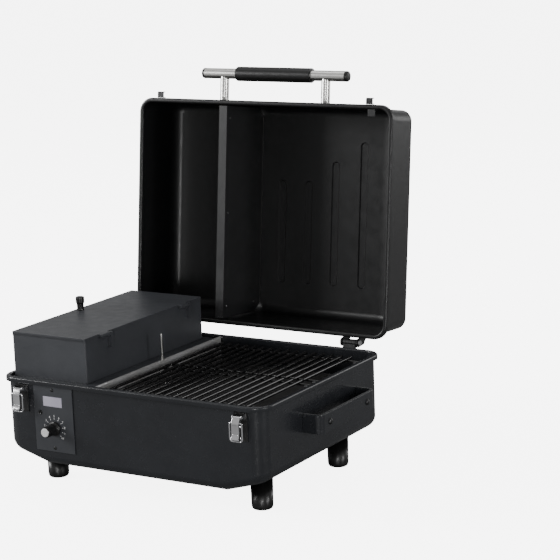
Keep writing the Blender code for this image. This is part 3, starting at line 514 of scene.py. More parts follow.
def side_name(sign):
    return "right" if sign > 0 else "left"


# -------------------- pressed pans: body and lid
def push_out(verts, core_x, core_y, distance):
    """Moves rim points straight out from the rounded rectangle that they lie on."""
    for vert in verts:
        nearest = Vector((max(-core_x, min(core_x, vert.co.x)), max(-core_y, min(core_y, vert.co.y)),
                          vert.co.z))
        vert.co += (vert.co - nearest).normalized() * distance


def grow_rim(bm):
    """Extrudes the open edge and returns its new points."""
    made = bmesh.ops.extrude_edge_only(bm, edges=[e for e in bm.edges if e.is_boundary])["geom"]
    return [item for item in made if isinstance(item, bmesh.types.BMVert)]


def roll_quarter(bm, core, upwards):
    """Grows the open edge along a quarter circle: up and outwards, or outwards and down."""
    bend = ROLL_R - SHEET
    for k in range(ROLL_STEPS):
        a0, a1 = (math.pi / 2 * i / ROLL_STEPS for i in (k, k + 1))
        short, far = (math.cos(a0) - math.cos(a1)) * bend, (math.sin(a1) - math.sin(a0)) * bend
        ring = grow_rim(bm)
        push_out(ring, *core, short if upwards else far)
        bmesh.ops.translate(bm, vec=(0, 0, far if upwards else -short), verts=ring)


def roll_rim(bm, core):
    """Bends the open edge into a flat lip with its edge turned down."""
    for vert in {v for e in bm.edges if e.is_boundary for v in e.verts}:
        vert.co.z = -ROLL_R
    roll_quarter(bm, core, True)
    push_out(grow_rim(bm), *core, LIP_OUT - 2 * ROLL_R + SHEET)
    roll_quarter(bm, core, False)
    bmesh.ops.translate(bm, vec=(0, 0, ROLL_R - LIP_DROP), verts=grow_rim(bm))


def pressed_blank(half, wall, middle, draft):
    """A closed box with drafted walls, whose floor drops lower between two creases."""
    bm = bmesh.new()
    bmesh.ops.create_cube(bm, size=1.0)
    bmesh.ops.translate(bm, vec=(0, 0, -0.5), verts=bm.verts[:])
    bmesh.ops.scale(bm, vec=(2 * half[0], 2 * half[1], wall), verts=bm.verts[:])
    for x in (-CREASE_X, CREASE_X):
        bmesh.ops.bisect_plane(bm, geom=bm.verts[:] + bm.edges[:] + bm.faces[:], plane_co=(x, 0, 0),
                               plane_no=(1, 0, 0))
    for vert in bm.verts:
        if vert.co.z < -wall / 2:
            vert.co.y -= math.copysign(draft, vert.co.y)
            if at_end(vert):
                vert.co.x -= math.copysign(draft, vert.co.x)
            else:
                vert.co.z = -middle
    return bm


def at_end(vert):
    """True beyond the creases, where the floor slopes up."""
    return abs(vert.co.x) > CREASE_X + 0.01


def round_edges(bm, wall, corner):
    """Rounds the four upright corners, then the edge all around the floor."""
    uprights = [e for e in bm.edges
                if abs(e.verts[0].co.z - e.verts[1].co.z) > wall / 2 and at_end(e.verts[0])]
    bmesh.ops.bevel(bm, geom=uprights, offset=corner, segments=12, profile=0.5, affect="EDGES")
    bmesh.ops.recalc_face_normals(bm, faces=bm.faces[:])
    bm.normal_update()
    belly = [e for e in bm.edges if len(e.link_faces) == 2
             and sorted(round(f.normal.z, 1) < -0.6 for f in e.link_faces) == [False, True]
             and max(v.co.z for v in e.verts) < -wall / 2]
    bmesh.ops.bevel(bm, geom=belly, offset=EDGE_R, segments=9, profile=0.5, affect="EDGES")
    bm.normal_update()


def pan(name, half, wall, middle, corner, draft, material):
    """A pressed sheet pan open upwards at z = 0, with a rolled rim and two sloping ends."""
    bm = pressed_blank(half, wall, middle, draft)
    round_edges(bm, wall, corner)
    bmesh.ops.delete(bm, geom=[f for f in bm.faces if f.normal.z > 0.9], context="FACES_ONLY")
    roll_rim(bm, (half[0] - corner, half[1] - corner))
    bmesh.ops.recalc_face_normals(bm, faces=bm.faces[:])
    bm.normal_update()
    if min(bm.faces, key=lambda f: f.calc_center_median().z).normal.z > 0:
        bmesh.ops.reverse_faces(bm, faces=bm.faces[:])
    obj = link(name, bm, material, 30)
    sheet = obj.modifiers.new("sheet", "SOLIDIFY")
    sheet.thickness = SHEET
    sheet.offset = -1.0
    sheet.use_even_offset = True
    return obj


# -------------------- body
def body():
    """Pressed tub with its openings, air slots, feet and carrying handles."""
    coat = MAT["body"]
    tub = pan("tub", (HALF_W, BODY_D / 2), RIM_Z - END_Z, RIM_Z - BELLY_Z, BODY_CORNER, 0.0, coat)
    tub.location = (0, FRONT + BODY_D / 2, RIM_Z)
    back = FRONT + BODY_D
    cutters = [block("c_controls", at_front(-0.1855, -0.01, 0.088), at_front(-0.1195, 0.01, 0.172), coat),
               block("c_inlet", (-0.1935, back - 0.01, 0.0995), (-0.1645, back + 0.01, 0.1205), coat)]
    for i in range(AIR_SLOTS):
        y = AIR_FIRST + AIR_PITCH * i
        cutters.append(block(f"c_slot_{i}", at_front(-0.160, y - AIR_HALF, 0.03),
                             at_front(-0.112, y + AIR_HALF, 0.06), coat, 0.0008))
    settle(carve(tub, *cutters), "base", "powder_coat", "body_tub")
    for sign in (-1, 1):
        for row in ("front", "rear"):
            foot(f"foot_{row}_{side_name(sign)}", sign)
        side_handle(sign)


def foot(node, sign):
    """A tapered rubber foot with a rolled bottom edge, cut to the sloping underside."""
    x, y, _ = middle_of(node)
    lip = 0.0052
    profile = [(0, FOOT_TOP), (0.0190, FOOT_TOP), (0.0180, 0.0075)]
    profile += [(0.0125 + lip * math.cos(a), lip - lip * math.sin(a))
                for a in (math.radians(d) for d in (0, 20, 40, 60, 80, 90))]
    profile += [(0.0100, 0.0), (0.0095, 0.0012), (0, 0.0012)]
    made = lathe(node + "_look", profile, (x, y, 0), (0, 0, 1), MAT["foot"], 56)
    inner, above = CREASE_X - 0.03, 0.12
    outline = [(inner, BELLY_Z - GAP), (CREASE_X, BELLY_Z - GAP), (HALF_W, END_Z - GAP), (HALF_W, above),
               (inner, above)]
    seat = slab("c_seat", [(z, sign * a) for a, z in outline], "y", y - 0.03, y + 0.03, MAT["foot"], 0.0)
    settle(carve(made, seat), "base", "rubber", node)


def side_handle(sign):
    """A strap handle bent from one wide strip, with two dome-headed bolts."""
    side = side_name(sign)
    low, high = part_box(f"side_handle_{side}")
    x0, x1 = (low.x, high.x) if sign > 0 else (-high.x, -low.x)
    front, rear = (x1 - STRAP_R, low.y + STRAP_R), (x1 - STRAP_R, high.y - STRAP_R)
    outline = [(x0, low.y), *arc(front, STRAP_R, -90, 0, 10), *arc(rear, STRAP_R, 0, 90, 10), (x0, high.y)]
    inside = STRAP_R - STRAP_T
    outline += [(x0, high.y - STRAP_T), *arc(rear, inside, 90, 0, 8), *arc(front, inside, 0, -90, 8),
                (x0, low.y + STRAP_T)]
    handle = slab(f"strap_{side}", [(sign * x, y) for x, y in outline], "z", low.z, high.z, MAT["body"],
                  0.0012)
    settle(handle, "base", "powder_coat", f"side_handle_{side}")
    for row in ("front", "rear"):
        handle_bolt(f"handle_bolt_{row}_{side}", sign)


# -------------------- front controls
def handle_bolt(node, sign):
    """The domed head of a through bolt."""
    low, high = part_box(node)
    middle = middle_of(node)
    dome = 0.0031
    out = max(abs(low.x), abs(high.x)) - dome
    profile = [(0, dome), (0.0012, 0.00305), (0.0028, 0.0027), (0.0042, 0.0020), (0.0052, 0.0010),
               (0.0055, 0.0002), (0.0055, 0), (0.0029, 0), (0.0029, -0.0060), (0, -0.0060)]
    head = lathe(node + "_look", profile, (sign * out, middle.y, middle.z), (sign, 0, 0),
                 MAT["dark_zinc"], 40)
    settle(head, "base", "zinc", node)


def controls():
    """Panel, dial marks, display, jack, knob and screws."""
    low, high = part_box("control_panel")
    w_low, w_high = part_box("display_window")
    face = low.y
    kx, _, kz = middle_of("control_knob")
    jx, _, jz = middle_of("probe_jack")
    margin = Vector((GAP, 0.01, GAP))
    plate = block("panel_plate", low, high, MAT["panel"], 0.0006)
    holes = [panel_bore("c_shaft", kx, kz, face, 0.0038),
             block("c_window", w_low - margin, w_high + margin, MAT["panel"]),
             panel_bore("c_jack", jx, jz, face, 0.0042)]
    settle(carve(plate, *holes), "base", "plastic", "control_panel")
    dial(kx, kz, face)
    knob(kx, kz, face)
    display(w_low, w_high, face)
    rim = [(0.0024, 0.0048), (0.0030, 0.0052), (0.0034, 0.0048), (0.0038, 0.0010), (0.0038, 0.0),
           (0.0012, 0.0), (0.0012, 0.0044)]
    socket = lathe("jack_socket", rim, (jx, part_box("probe_jack")[1].y, jz), (0, -1, 0), MAT["knob"], 32,
                   ring=True)
    settle(socket, "base", "steel", "probe_jack")
    for i, z in enumerate((low.z + SCREW_INSET, high.z - SCREW_INSET)):
        screw(f"panel_screw_{i}", (SCREW_X, face, z), (0, -1, 0), 0.0030, "black_screw", "base")


def panel_bore(name, x, z, face, radius):
    """A cutter that goes through the panel."""
    return rod(name, (x, face - 0.01, z), (x, face + 0.01, z), radius, MAT["panel"])


def screw(name, seat, direction, radius, finish, body, matrix=None):
    """A pan-head screw with a cross recess."""
    dome = [(0, radius * 0.55), (radius * 0.45, radius * 0.52), (radius * 0.8, radius * 0.36),
            (radius, radius * 0.1), (radius, -0.0004), (0, -0.0004)]
    head = lathe(name, dome, seat, direction, MAT[finish], 32)
    direction = Vector(direction)
    turn = direction.to_track_quat("Z", "Y").to_matrix().to_4x4()
    top = Matrix.Translation(Vector(seat) + direction * radius * 0.55) @ turn
    slots = []
    for a, b in ((0.62, 0.1), (0.1, 0.62)):
        slot = block("c_slot", (-radius * a, -radius * b, -radius * 0.4), (radius * a, radius * b, radius),
                     MAT[finish])
        slot.matrix_world = top @ Matrix.Rotation(math.radians(25), 4, "Z")
        slots.append(slot)
    carve(head, *slots)
    if matrix is not None:
        head.matrix_world = matrix
    return settle(head, body, "zinc")


def dial(kx, kz, face):
    """Printed scale around the knob: eleven ticks, each with its number."""
    marks = []
    for i in range(DIAL_STEPS + 1):
        a = math.radians(DIAL_SWEEP * (i / DIAL_STEPS - 0.5))
        tick = block(f"tick_{i}", (-0.0004, -0.00006, 0.0158), (0.0004, 0.00008, 0.0182), MAT["ink"])
        tick.matrix_world = Matrix.Translation((kx, face, kz)) @ Matrix.Rotation(a, 4, "Y")
        spot = Vector((kx + NUMBER_AT * math.sin(a), face, kz + NUMBER_AT * math.cos(a)))
        marks += [tick, number(f"number_{i}", str(i), spot, 0.0052)]
    settle(joined("dial_marks", marks), "base", "plastic")


def number(name, text, spot, size):
    """A flat printed figure, facing forward."""
    curve = bpy.data.curves.new(name, "FONT")
    curve.body = text
    curve.size = size
    curve.align_x = "CENTER"
    curve.align_y = "CENTER"
    curve.extrude = 0.00008
    place = Matrix.Translation(spot) @ Matrix.Rotation(math.radians(90), 4, "X")
    return mesh_of(name, curve, MAT["ink"], place, 40)


def knob(kx, kz, face):
    """A fluted knob with a skirt, a bright spun cap and a pointer line."""
    bm = bmesh.new()
    sides, flutes, flute_depth = 96, 24, 0.00045
    profile = [(0.0118, 0.0006, 0), (0.0125, 0.0012, 0), (0.0125, 0.0030, 0), (0.0119, 0.0040, 0),
               (0.0102, 0.0050, 0.5), (0.0098, 0.0075, 1), (0.0092, 0.0235, 1), (0.0090, 0.0250, 0.6),
               (0.0082, 0.0264, 0.1), (0.0076, KNOB_H, 0)]
    rings = []
    for radius, height, share in profile:
        ring = []
        for k in range(sides):
            a = 2 * math.pi * k / sides
            r = radius - flute_depth * share * (0.5 + 0.5 * math.cos(flutes * a))
            ring.append(bm.verts.new((kx + r * math.cos(a), face - height, kz + r * math.sin(a))))
        rings.append(ring)
    skin(bm, rings)
    grip = finish_mesh("knob_grip", bm, MAT["knob"], 50)
    line = block("knob_pointer", (kx - 0.0005, face - 0.0044, kz + 0.0106),
                 (kx + 0.0005, face - 0.0034, kz + 0.0123), MAT["ink"], 0.0001)
    settle(joined("knob_body", [grip, line]), "temperature_knob", "plastic", "control_knob")
    spun = [(0, 0.0016), (0.0050, 0.0016), (0.0060, 0.0018), (0.0070, 0.0014), (0.0074, 0.0006),
            (0.0074, GAP), (0, GAP)]
    cap = lathe("knob_cap_look", spun, (kx, face - KNOB_H, kz), (0, -1, 0), MAT["cap"], 64)
    settle(cap, "temperature_knob", "cap", "knob_cap")


def display(low, high, face):
    """The blank front of the small display."""
    glass = block("display_front", (low.x, face + 0.0004, low.z), high, MAT["screen"], 0.0003)
    settle(glass, "base", "screen", "display_window")


# -------------------- hopper
def hopper():
    """Pellet bin, its flat lid with two knuckles, and the lift knob."""
    low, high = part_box("hopper_lid")
    b_low, b_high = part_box("hopper_bin")
    bin_walls(b_low, b_high)
    pin_x, _, pin_z = HINGES["hopper_lid_hinge"]["pos_m"]
    edge, coat, half, r, chamfer = b_high.x, MAT["hopper"], KNUCKLE_HALF, KNUCKLE_R, 0.0003
    knuckle = [(0.0021, -half), (r - chamfer, -half), (r, chamfer - half), (r, half - chamfer),
               (r - chamfer, half), (0.0021, half)]
    web = [(high.z, edge - 0.0012), (high.z, pin_x), *arc((pin_z, pin_x), r, 0, -62, 6),
           (low.z, edge - 0.0012)]
    pieces = [block("pellet_plate", low, (edge, high.y, high.z), coat, 0.0006)]
    for row in ("front", "rear"):
        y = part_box(f"hopper_hinge_{row}")[1].y - KNUCKLE_INSET
        pieces.append(slab(f"web_{row}", web, "y", y - half, y + half, coat, 0.0002))
        pieces.append(lathe(f"knuckle_{row}", knuckle, (pin_x, y, pin_z), (0, 1, 0), coat, 32, ring=True))
    settle(joined("pellet_lid", pieces), "hopper_lid", "powder_coat", "hopper_lid")
    lift_knob()


def lift_knob():
    """The turned knob on the pellet lid."""
    x, y, _ = middle_of("hopper_lid_knob")
    profile = [(0, 0.0240), (0.0058, 0.0240), (0.0070, 0.0236), (0.0076, 0.0228), (0.0078, 0.0216),
               (0.0078, 0.0138), (0.0075, 0.0130), (0.0067, 0.0120), (0.0064, 0.0110), (0.0061, 0.0024),
               (0.0066, 0.0008), (0.0066, 0), (0, 0)]
    turned = lathe("lift_knob", profile, (x, y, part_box("hopper_lid_knob")[0].z), (0, 0, 1), MAT["knob"])
    settle(turned, "hopper_lid", "plastic", "hopper_lid_knob")


def bin_walls(low, high):
    """The straight bin: four sheet walls with folded upright corners."""
    thick, r = 0.0012, 0.0022
    corners = [(high.x - r, low.y + r, -90), (high.x - r, high.y - r, 0), (low.x + r, high.y - r, 90),
               (low.x + r, low.y + r, 180)]
    outer, inner = ([p for x, y, a in corners for p in arc((x, y), bend, a, a + 90, 5)]
                    for bend in (r, r - thick))
    walls = slab("bin_walls", outer, "z", low.z, high.z, MAT["hopper"], 0.0002, holes=[inner[::-1]])
    settle(walls, "base", "powder_coat", "hopper_bin")


# -------------------- latches
def latches():
    """Two chromed toggle latches with dished levers and wire bails."""
    for side in ("left", "right"):
        x = middle_of(f"latch_plate_{side}").x
        lever, bail = (HINGES[f"latch_{part}_{side}_hinge"]["pos_m"][1:] for part in ("lever", "bail"))
        latch_plate(side, x)
        latch_lever(side, x, *lever, *bail)
        latch_bail(side, x, *bail)


def latch_plate(side, x):
    """The base plate with its two ears and rivets; its black is partly the real mount and partly painted
    shadow.
    """
    half, thick, top = 0.0120, 0.0018, 0.1800
    # black plate: partly the real mounting plate, partly painted shadow for the dark pad beside each latch
    pieces = [block("plate", at_front(x - half, -thick, 0.1335), at_front(x + half, -GAP, top),
                    MAT["plastic"], 0.0005)]
    pin = (FRONT - 0.0105, 0.1745)
    bore = arc(pin, 0.0018, 0, 345, 23)[::-1]
    ear = [(FRONT - 0.0012, 0.1690), (FRONT - 0.0012, top), *arc(pin, 0.0034, 100, 250, 14)]
    for at in (x - 0.0085, x + 0.0085):
        pieces.append(slab("ear", ear, "x", at - 0.0007, at + 0.0007, MAT["chrome"], 0.0002, holes=[bore]))
    for z in (0.1365, 0.1560):
        pieces.append(lathe("rivet", [(0, 0.0009), (0.0012, 0.0008), (0.0019, 0.0003), (0.0020, 0), (0, 0)],
                            at_front(x, -thick, z), (0, -1, 0), MAT["chrome"], 24))
    settle(joined(f"latch_base_{side}", pieces), "base", "chrome", f"latch_plate_{side}")


def latch_lever(side, x, py, pz, by, bz):
    """A pressed lever between its pin (py, pz) and the bail's eye (by, bz), ending in a flared tab."""
    knuckle = [(py + 0.0018, pz + 0.0014), (py, pz + 0.0024), (py - 0.0024, pz + 0.0018),
               (py - 0.0042, pz + 0.0002)]
    face = [(by - 0.0022, bz + 0.0008), (by - 0.0025, bz - 0.0018), (by - 0.0021, 0.1500),
            (by - 0.0027, 0.1462)]
    tab = [(by - 0.0040, 0.1432), (by - 0.0059, 0.1406), (by - 0.0052, 0.1399), (by - 0.0045, 0.1400),
           (by - 0.0024, 0.1426)]
    back = [(by - 0.0010, 0.1455), (by - 0.0003, 0.1480), (by + 0.0004, 0.1500), (by + 0.0020, bz - 0.0022),
            (by + 0.0032, bz + 0.0006), (py + 0.0022, pz - 0.0004)]
    lever = slab("lever", knuckle + face + tab + back, "x", x - 0.0070, x + 0.0070, MAT["chrome"])
    dish = block("c_dish", (x - 0.0052, by - 0.0040, 0.1475), (x + 0.0052, by - 0.0014, bz - 0.0030),
                 MAT["chrome"], 0.0011)
    carve(lever, dish, rod("c_bore", (x - 0.02, by, bz), (x + 0.02, by, bz), 0.0015, MAT["chrome"]))
    ends = [(0, 0.0101), (0.0009, 0.0100), (0.0015, 0.0094), (0.0015, -0.0094), (0.0009, -0.0100),
            (0, -0.0101)]
    pin = lathe("pin", ends, (x, py, pz), (1, 0, 0), MAT["chrome"], 24)
    settle(joined(f"lever_{side}", [lever, pin]), f"lever_{side}", "chrome", f"latch_lever_{side}")


def latch_bail(side, x, y, z):
    """The wire loop that hangs from the lever."""
    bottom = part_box(f"latch_bail_{side}")[0].z + BAIL_R
    half, r, bend = 0.0115, 0.0045, 0.0024
    right = [(0.0030, z), (half - bend, z)]
    right += [(half - bend + bend * math.sin(a), z - bend + bend * math.cos(a))
              for a in (math.radians(d) for d in (22, 45, 67, 90))]
    right += [(half - r + r * math.cos(a), bottom + r - r * math.sin(a))
              for a in (math.radians(15 * k) for k in range(7))]
    points = [(x - a, y, b) for a, b in right] + [(x + a, y, b) for a, b in reversed(right)]
    settle(wire(f"bail_{side}", points, BAIL_R, MAT["chrome"]), f"bail_{side}", "chrome",
           f"latch_bail_{side}")


# -------------------- cooking chamber
def grate(node, cross_bars):
    """One half of the grate: round enamelled bars on two cross bars with welds and flat end tabs."""
    low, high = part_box(node)
    first, last = GRATE_X
    cross_z, bar_z = low.z + CROSS_R, high.z - GRATE_R
    bm = bmesh.new()
    for i in range(GRATE_BARS):
        x = first + (last - first) * i / (GRATE_BARS - 1)
        rounded_bar(bm, Vector((x, low.y, bar_z)), Vector((x, high.y, bar_z)), GRATE_R)
        for y in cross_bars:
            for dx in (-0.0024, 0.0024):
                weld = Matrix.Translation(at_front(x + dx, y, bar_z - 0.0022))
                bmesh.ops.create_icosphere(bm, subdivisions=2, radius=0.0013, matrix=weld)
    tabs = []
    for y in cross_bars:
        rounded_bar(bm, at_front(first - 0.0060, y, cross_z), at_front(last + 0.0260, y, cross_z), CROSS_R)
        tabs.append(block("tab", at_front(last + 0.0140, y - 0.0060, cross_z - CROSS_R),
                          at_front(last + 0.0385, y + 0.0060, cross_z), MAT["tab"], 0.0006))
    grid = finish_mesh("grate_bars", bm, MAT["enamel"], 50)
    settle(joined(node + "_look", [grid] + tabs), "grate", "enamel", node)


def rounded_bar(bm, start, end, radius):
    """A bar with softened ends."""
    axis, length = (end - start).normalized(), (end - start).length
    side = axis.orthogonal().normalized()
    other = axis.cross(side)
    rings = []
    for share, along in ((0.55, 0.0), (0.88, 0.0004), (1.0, 0.0011), (1.0, length - 0.0011),
                         (0.88, length - 0.0004), (0.55, length)):
        rings.append([bm.verts.new(start + axis * along + (side * c + other * s) * radius * share)
                      for c, s in circle(20)])
    skin(bm, rings)


def rail_fittings():
    """Screws on the divider's flange, and the upright temperature probe."""
    low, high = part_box("chamber_divider")
    for i, y in enumerate((0.030, 0.183, 0.352)):
        screw(f"rail_screw_{i}", (low.x + 0.0040, FRONT + y, high.z), (0, 0, 1), 0.0022, "zinc", "base")
    x, y, _ = middle_of("temperature_probe")
    profile = [(0, 0.0470), (0.0008, 0.0468), (0.0015, 0.0461), (0.0018, 0.0452), (0.0018, 0.0060),
               (0.0026, 0.0055), (0.0026, 0.0034), (0.0034, 0.0030), (0.0034, 0), (0, 0)]
    probe = lathe("probe_rod", profile, (x, y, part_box("temperature_probe")[0].z), (0, 0, 1), MAT["steel_z"],
                  36)
    settle(probe, "base", "steel", "temperature_probe")


# -------------------- lid
def capsules(name, radius, low, high, soft, material):
    """The pressed ribs of the lid's top as upright capsules with a sloping side."""
    bm = bmesh.new()
    for x, front, back in RIBS:
        centres = ((back - radius, 0.0), (front + radius, math.pi))
        for sx in (-1, 1):
            rings = []
            for level, r in ((low, radius), (high - soft, radius), (high, radius - soft)):
                rings.append([bm.verts.new((sx * x + r * math.cos(a), y + r * math.sin(a), level))
                              for y, first in centres
                              for a in (first + math.pi * k / 16 for k in range(17))])
            skin(bm, rings)
    obj = finish_mesh(name, bm, material, 40)
    obj.location = (0, LID_Y, LID_Z)
    return obj


def lid():
    """Lid shell with pressed ribs and all that hangs on it; drawn closed, then swung open."""
    # this coat is painted darker than the body's, as painted shade for the lid's shadowed inside
    coat = MAT["lid"]
    half = (LID_W / 2 - LIP_OUT, LID_D / 2 - LIP_OUT)
    shell = pan("lid_pan", half, LID_WALL, LID_TOP, LID_CORNER, LID_DRAFT, coat)
    shell.matrix_world = Matrix.Translation((0, LID_Y, LID_Z)) @ Matrix.Rotation(math.pi, 4, "X")
    bosses = capsules("bosses", 0.0085, LID_TOP - 0.0010, LID_TOP + RIB_DEPTH, 0.0012, coat)
    boolean(shell, bosses, "UNION")
    hollows = capsules("hollows", 0.0078, LID_TOP - 0.0050, LID_TOP + RIB_DEPTH - SHEET, 0.0017, coat)
    carve(shell, hollows)
    bpy.data.objects.remove(bosses, do_unlink=True)
    crisp(shell.data, 30)
    shell.matrix_world = OPEN_LID @ shell.matrix_world
    settle(shell, "lid", "powder_coat", "lid_shell")
    lid_fittings()
    for sign in (-1, 1):
        keeper(sign)
        handle_post(sign)
    lid_handle()


def lid_fittings():
    """Screws along the lid divider's edge and a small folded tab in the lid's front right corner."""
    front, back = LID_Y - LID_D / 2, LID_Y + LID_D / 2
    plate_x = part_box("lid_divider")[1].x
    for i, (u, depth) in enumerate(((0.0321, 0.0125), (0.2019, 0.0110), (0.3725, 0.0125), (0.0321, 0.1060))):
        screw(f"divider_screw_{i}", (plate_x, back - u, LID_Z + depth), (1, 0, 0), 0.0022, "tab", "lid",
              OPEN_LID)
    tab = block("corner_tab", (0.2130, front + LIP_OUT + SHEET, LID_Z + 0.0030),
                (0.2270, front + 0.0205, LID_Z + 0.0042), MAT["lid_sheet"], 0.0004, OPEN_LID)
    settle(tab, "lid", "zinc")


def keeper(sign):
    """The hook on the lid's front rim that a latch's bail pulls on."""
    side = side_name(sign)
    face = LID_Y - LID_D / 2 - GAP
    x = sign * KEEPER_X
    wall_top, inside_z = LID_Z + 0.0080, LID_Z + 0.0034
    outline = [(face, LID_Z + 0.0006), (face, wall_top), (face - 0.0014, wall_top),
               *arc((face - 0.0026, inside_z), 0.0012, 0, -90, 4),
               *arc((face - 0.0086, inside_z), 0.0012, 270, 180, 4),
               (face - 0.0098, LID_Z + 0.0062), (face - 0.0106, LID_Z + 0.0068),
               (face - 0.0114, LID_Z + 0.0062), *arc((face - 0.0088, LID_Z + 0.0032), 0.0026, 180, 270, 5)]
    hook = slab(f"keeper_{side}", outline, "x", x - 0.0065, x + 0.0065, MAT["dark_zinc"], 0.0002,
                matrix=OPEN_LID)
    settle(hook, "lid", "zinc", f"lid_keeper_{side}")


def handle_post(sign):
    """A round stand-off between the lid's front wall and the handle bar, cut to both."""
    side, x, steel = side_name(sign), sign * POST_X, MAT["steel_x"]
    tilt = LID_DRAFT / LID_WALL
    wall = LID_Y - LID_D / 2 + LIP_OUT + tilt * BAR_UP
    reach = wall + 0.0010 - BAR_Y
    post = lathe(f"post_{side}", [(0, 0.0), (POST_R, 0.0), (POST_R, reach), (0, reach)], (x, BAR_Y, BAR_Z),
                 (0, 1, 0), steel, 56)
    seat = block("c_seat", (x - 0.02, wall - GAP, BAR_Z - 0.02), (x + 0.02, wall + 0.02, BAR_Z + 0.02),
                 steel)
    for vert in seat.data.vertices:
        if vert.co.y < wall + 0.001:
            vert.co.y += (vert.co.z - BAR_Z) * tilt
    saddle = rod("c_saddle", (x - 0.03, BAR_Y, BAR_Z), (x + 0.03, BAR_Y, BAR_Z), BAR_R + 0.0001, steel, 64)
    carve(post, saddle, seat)
    crisp(post.data, 35)
    post.matrix_world = OPEN_LID
    settle(post, "lid", "steel", f"handle_post_{side}")


def lid_handle():
    """A brushed bar with a rubber grip in the middle and a plug in each end."""
    centre = (0, BAR_Y, BAR_Z)
    bar_end, bar_edge = BAR_HALF - 0.0005, BAR_R - 0.0005
    profile = [(0, -BAR_HALF), (bar_edge, -BAR_HALF), (BAR_R, -bar_end), (BAR_R, bar_end),
               (bar_edge, BAR_HALF), (0, BAR_HALF)]
    bar = lathe("handle_bar", profile, centre, (1, 0, 0), MAT["steel_x"], 72, matrix=OPEN_LID)
    settle(bar, "lid", "steel", "lid_handle_bar")
    end = [(0.0116, GRIP_HALF), (0.0127, GRIP_HALF - 0.0004), (0.0132, GRIP_HALF - 0.0015)]
    sleeve = end + [(r, -x) for r, x in reversed(end)] + [(BAR_R + GAP, -GRIP_HALF), (BAR_R + GAP, GRIP_HALF)]
    grip = lathe("handle_grip", sleeve, centre, (1, 0, 0), MAT["rubber"], 72, ring=True, matrix=OPEN_LID)
    settle(grip, "lid", "rubber", "lid_handle_grip")
    plug = [(0, 0.0055), (0.0055, 0.0054), (0.0078, 0.0048), (0.0090, 0.0038), (0.0096, 0.0020),
            (0.0097, 0), (0, 0)]
    for sign in (-1, 1):
        cap = lathe(f"end_plug_{side_name(sign)}", plug, (sign * (BAR_HALF + GAP), BAR_Y, BAR_Z),
                    (sign, 0, 0), MAT["plastic"], 56, matrix=OPEN_LID)
        settle(cap, "lid", "plastic", f"handle_cap_{side_name(sign)}")


# -------------------- frame nodes shown as they are
CARRIED = {
    "hopper": ("hopper_funnel", "hopper_deck", "hopper_hinge_front", "hopper_hinge_rear"),
    "divider": ("chamber_divider",),
    "lid_sheet": ("lid_divider",),
    "sheet": ("auger_tube", "heat_baffle", "grate_ledge", "drip_tray"),
    "cast": ("auger", "fire_pot"),
    "plastic": ("controller_box", "fan_housing", "fan_impeller", "power_inlet"),
    "zinc": ("auger_motor", "hinge_pin_left", "hinge_pin_right"),
    "dark_zinc": ("hinge_bracket_left", "hinge_bracket_right", "lid_hinge_arm_left", "lid_hinge_arm_right"),
}


def carried_nodes():
    """Gives the frame's own meshes their finish, with softly rounded edges where it shows."""
    for finish, names in CARRIED.items():
        for name in names:
            node = frame["nodes"][name]
            node.data.materials.clear()
            node.data.materials.append(MAT[finish])
            crisp(node.data, 35)
            soft = node.modifiers.new("soft_edges", "BEVEL")
            soft.width = 0.0003
            soft.segments = 2
            soft.limit_method = "ANGLE"
            soft.angle_limit = math.radians(40)


# -------------------- studio and camera
CAMERA_ANGLES = (31.358, 11.830, -2.119)    # azimuth, elevation and roll, in degrees
CAMERA_DISTANCE = 3.1268
LOOK_AT = (0.1755, 0.2 + FRONT, 0.3487)
FLOOR_GLOW = 6.0        # how white the floor looks
FLOOR_DIM = 0.22        # how much of it the dark coats mirror
ROOM = 0.40             # the surrounding light
LAMPS_AIM = (0, 0, 0.25)
LAMPS = (   # name, place, width, height, watts
    ("key", (-3.2, -2.0, 1.5), 1.4, 1.4, 130.0),
    ("front_strip", (1.50, -3.2, 0.35), 0.35, 0.7, 34.0),
    ("side_strip", (3.5, -0.6, 0.60), 0.4, 1.2, 34.0),
    ("rear_strip", (2.1, 3.4, 1.0), 1.8, 1.6, 26.0),
    ("back_fill", (-0.6, 3.2, 2.9), 1.6, 1.4, 40.0),
    ("top", (-0.3, 0.2, 3.4), 2.4, 2.4, 24.0),
)


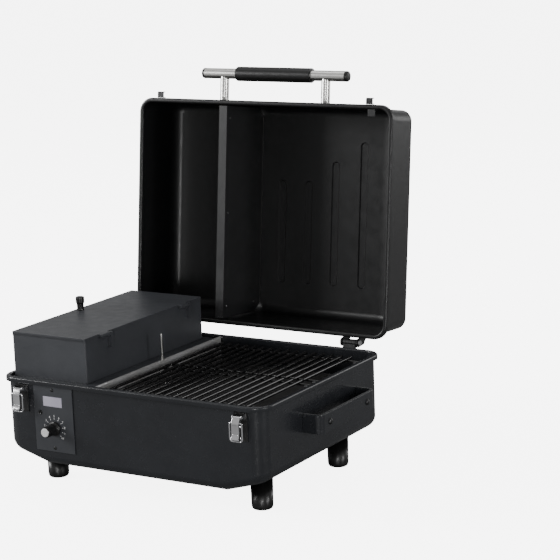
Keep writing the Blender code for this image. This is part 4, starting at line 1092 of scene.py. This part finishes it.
def studio_floor():
    """White paper that glows only where it is looked at, so that the dark coats mirror little of it."""
    bm = bmesh.new()
    bmesh.ops.create_grid(bm, x_segments=1, y_segments=1, size=30.0)
    white = (0.9, 0.9, 0.9)
    paper = Nodes("studio_floor", white, 0.9)
    seen = paper.node("ShaderNodeLightPath").outputs["Is Camera Ray"]
    paper.colour(paper.ramp(seen, (0.0, (FLOOR_DIM,) * 3), (1.0, white)))
    paper.shader.inputs["Emission Color"].default_value = (1.0, 1.0, 1.0, 1.0)
    glow = paper.node("ShaderNodeMath")
    glow.operation = "MULTIPLY"
    glow.inputs[1].default_value = FLOOR_GLOW
    paper.link(seen, glow.inputs[0])
    paper.link(glow.outputs["Value"], paper.shader.inputs["Emission Strength"])
    floor = finish_mesh("studio_floor", bm, paper.material)
    floor.location = (0, 0, -0.0005)


def studio():
    """A white floor under a dim white room, with large soft lamps."""
    studio_floor()
    scene = bpy.context.scene
    world = bpy.data.worlds.new("studio_room")
    scene.world = world
    world.use_nodes = True
    room = world.node_tree.nodes["Background"].inputs
    room["Color"].default_value = (1.0, 1.0, 1.0, 1.0)
    room["Strength"].default_value = ROOM
    for name, spot, width, height, power in LAMPS:
        data = bpy.data.lights.new(name, "AREA")
        data.shape = "RECTANGLE"
        data.size, data.size_y = width, height
        data.energy = power
        lamp = bpy.data.objects.new(name, data)
        scene.collection.objects.link(lamp)
        lamp.location = spot
        lamp.rotation_euler = (Vector(LAMPS_AIM) - Vector(spot)).to_track_quat("-Z", "Y").to_euler()


def camera():
    """The eye-level three-quarter view."""
    azimuth, elevation, roll = (math.radians(angle) for angle in CAMERA_ANGLES)
    back = Vector((math.sin(azimuth) * math.cos(elevation), -math.cos(azimuth) * math.cos(elevation),
                   math.sin(elevation)))
    eye = Vector(LOOK_AT) + back * CAMERA_DISTANCE
    data = bpy.data.cameras.new("camera")
    data.lens = 122.26
    data.sensor_width = 36.0
    data.clip_end = 60.0
    made = bpy.data.objects.new("camera", data)
    bpy.context.scene.collection.objects.link(made)
    made.matrix_world = Matrix.Translation(eye) @ back.to_track_quat("Z", "Y").to_matrix().to_4x4() \
        @ Matrix.Rotation(roll, 4, "Z")
    bpy.context.scene.camera = made


body()
controls()
hopper()
latches()
grate("grate_front", (0.0370, 0.1880))
grate("grate_rear", (0.2150, 0.3530))
rail_fittings()
lid()
carried_nodes()
studio()
camera()
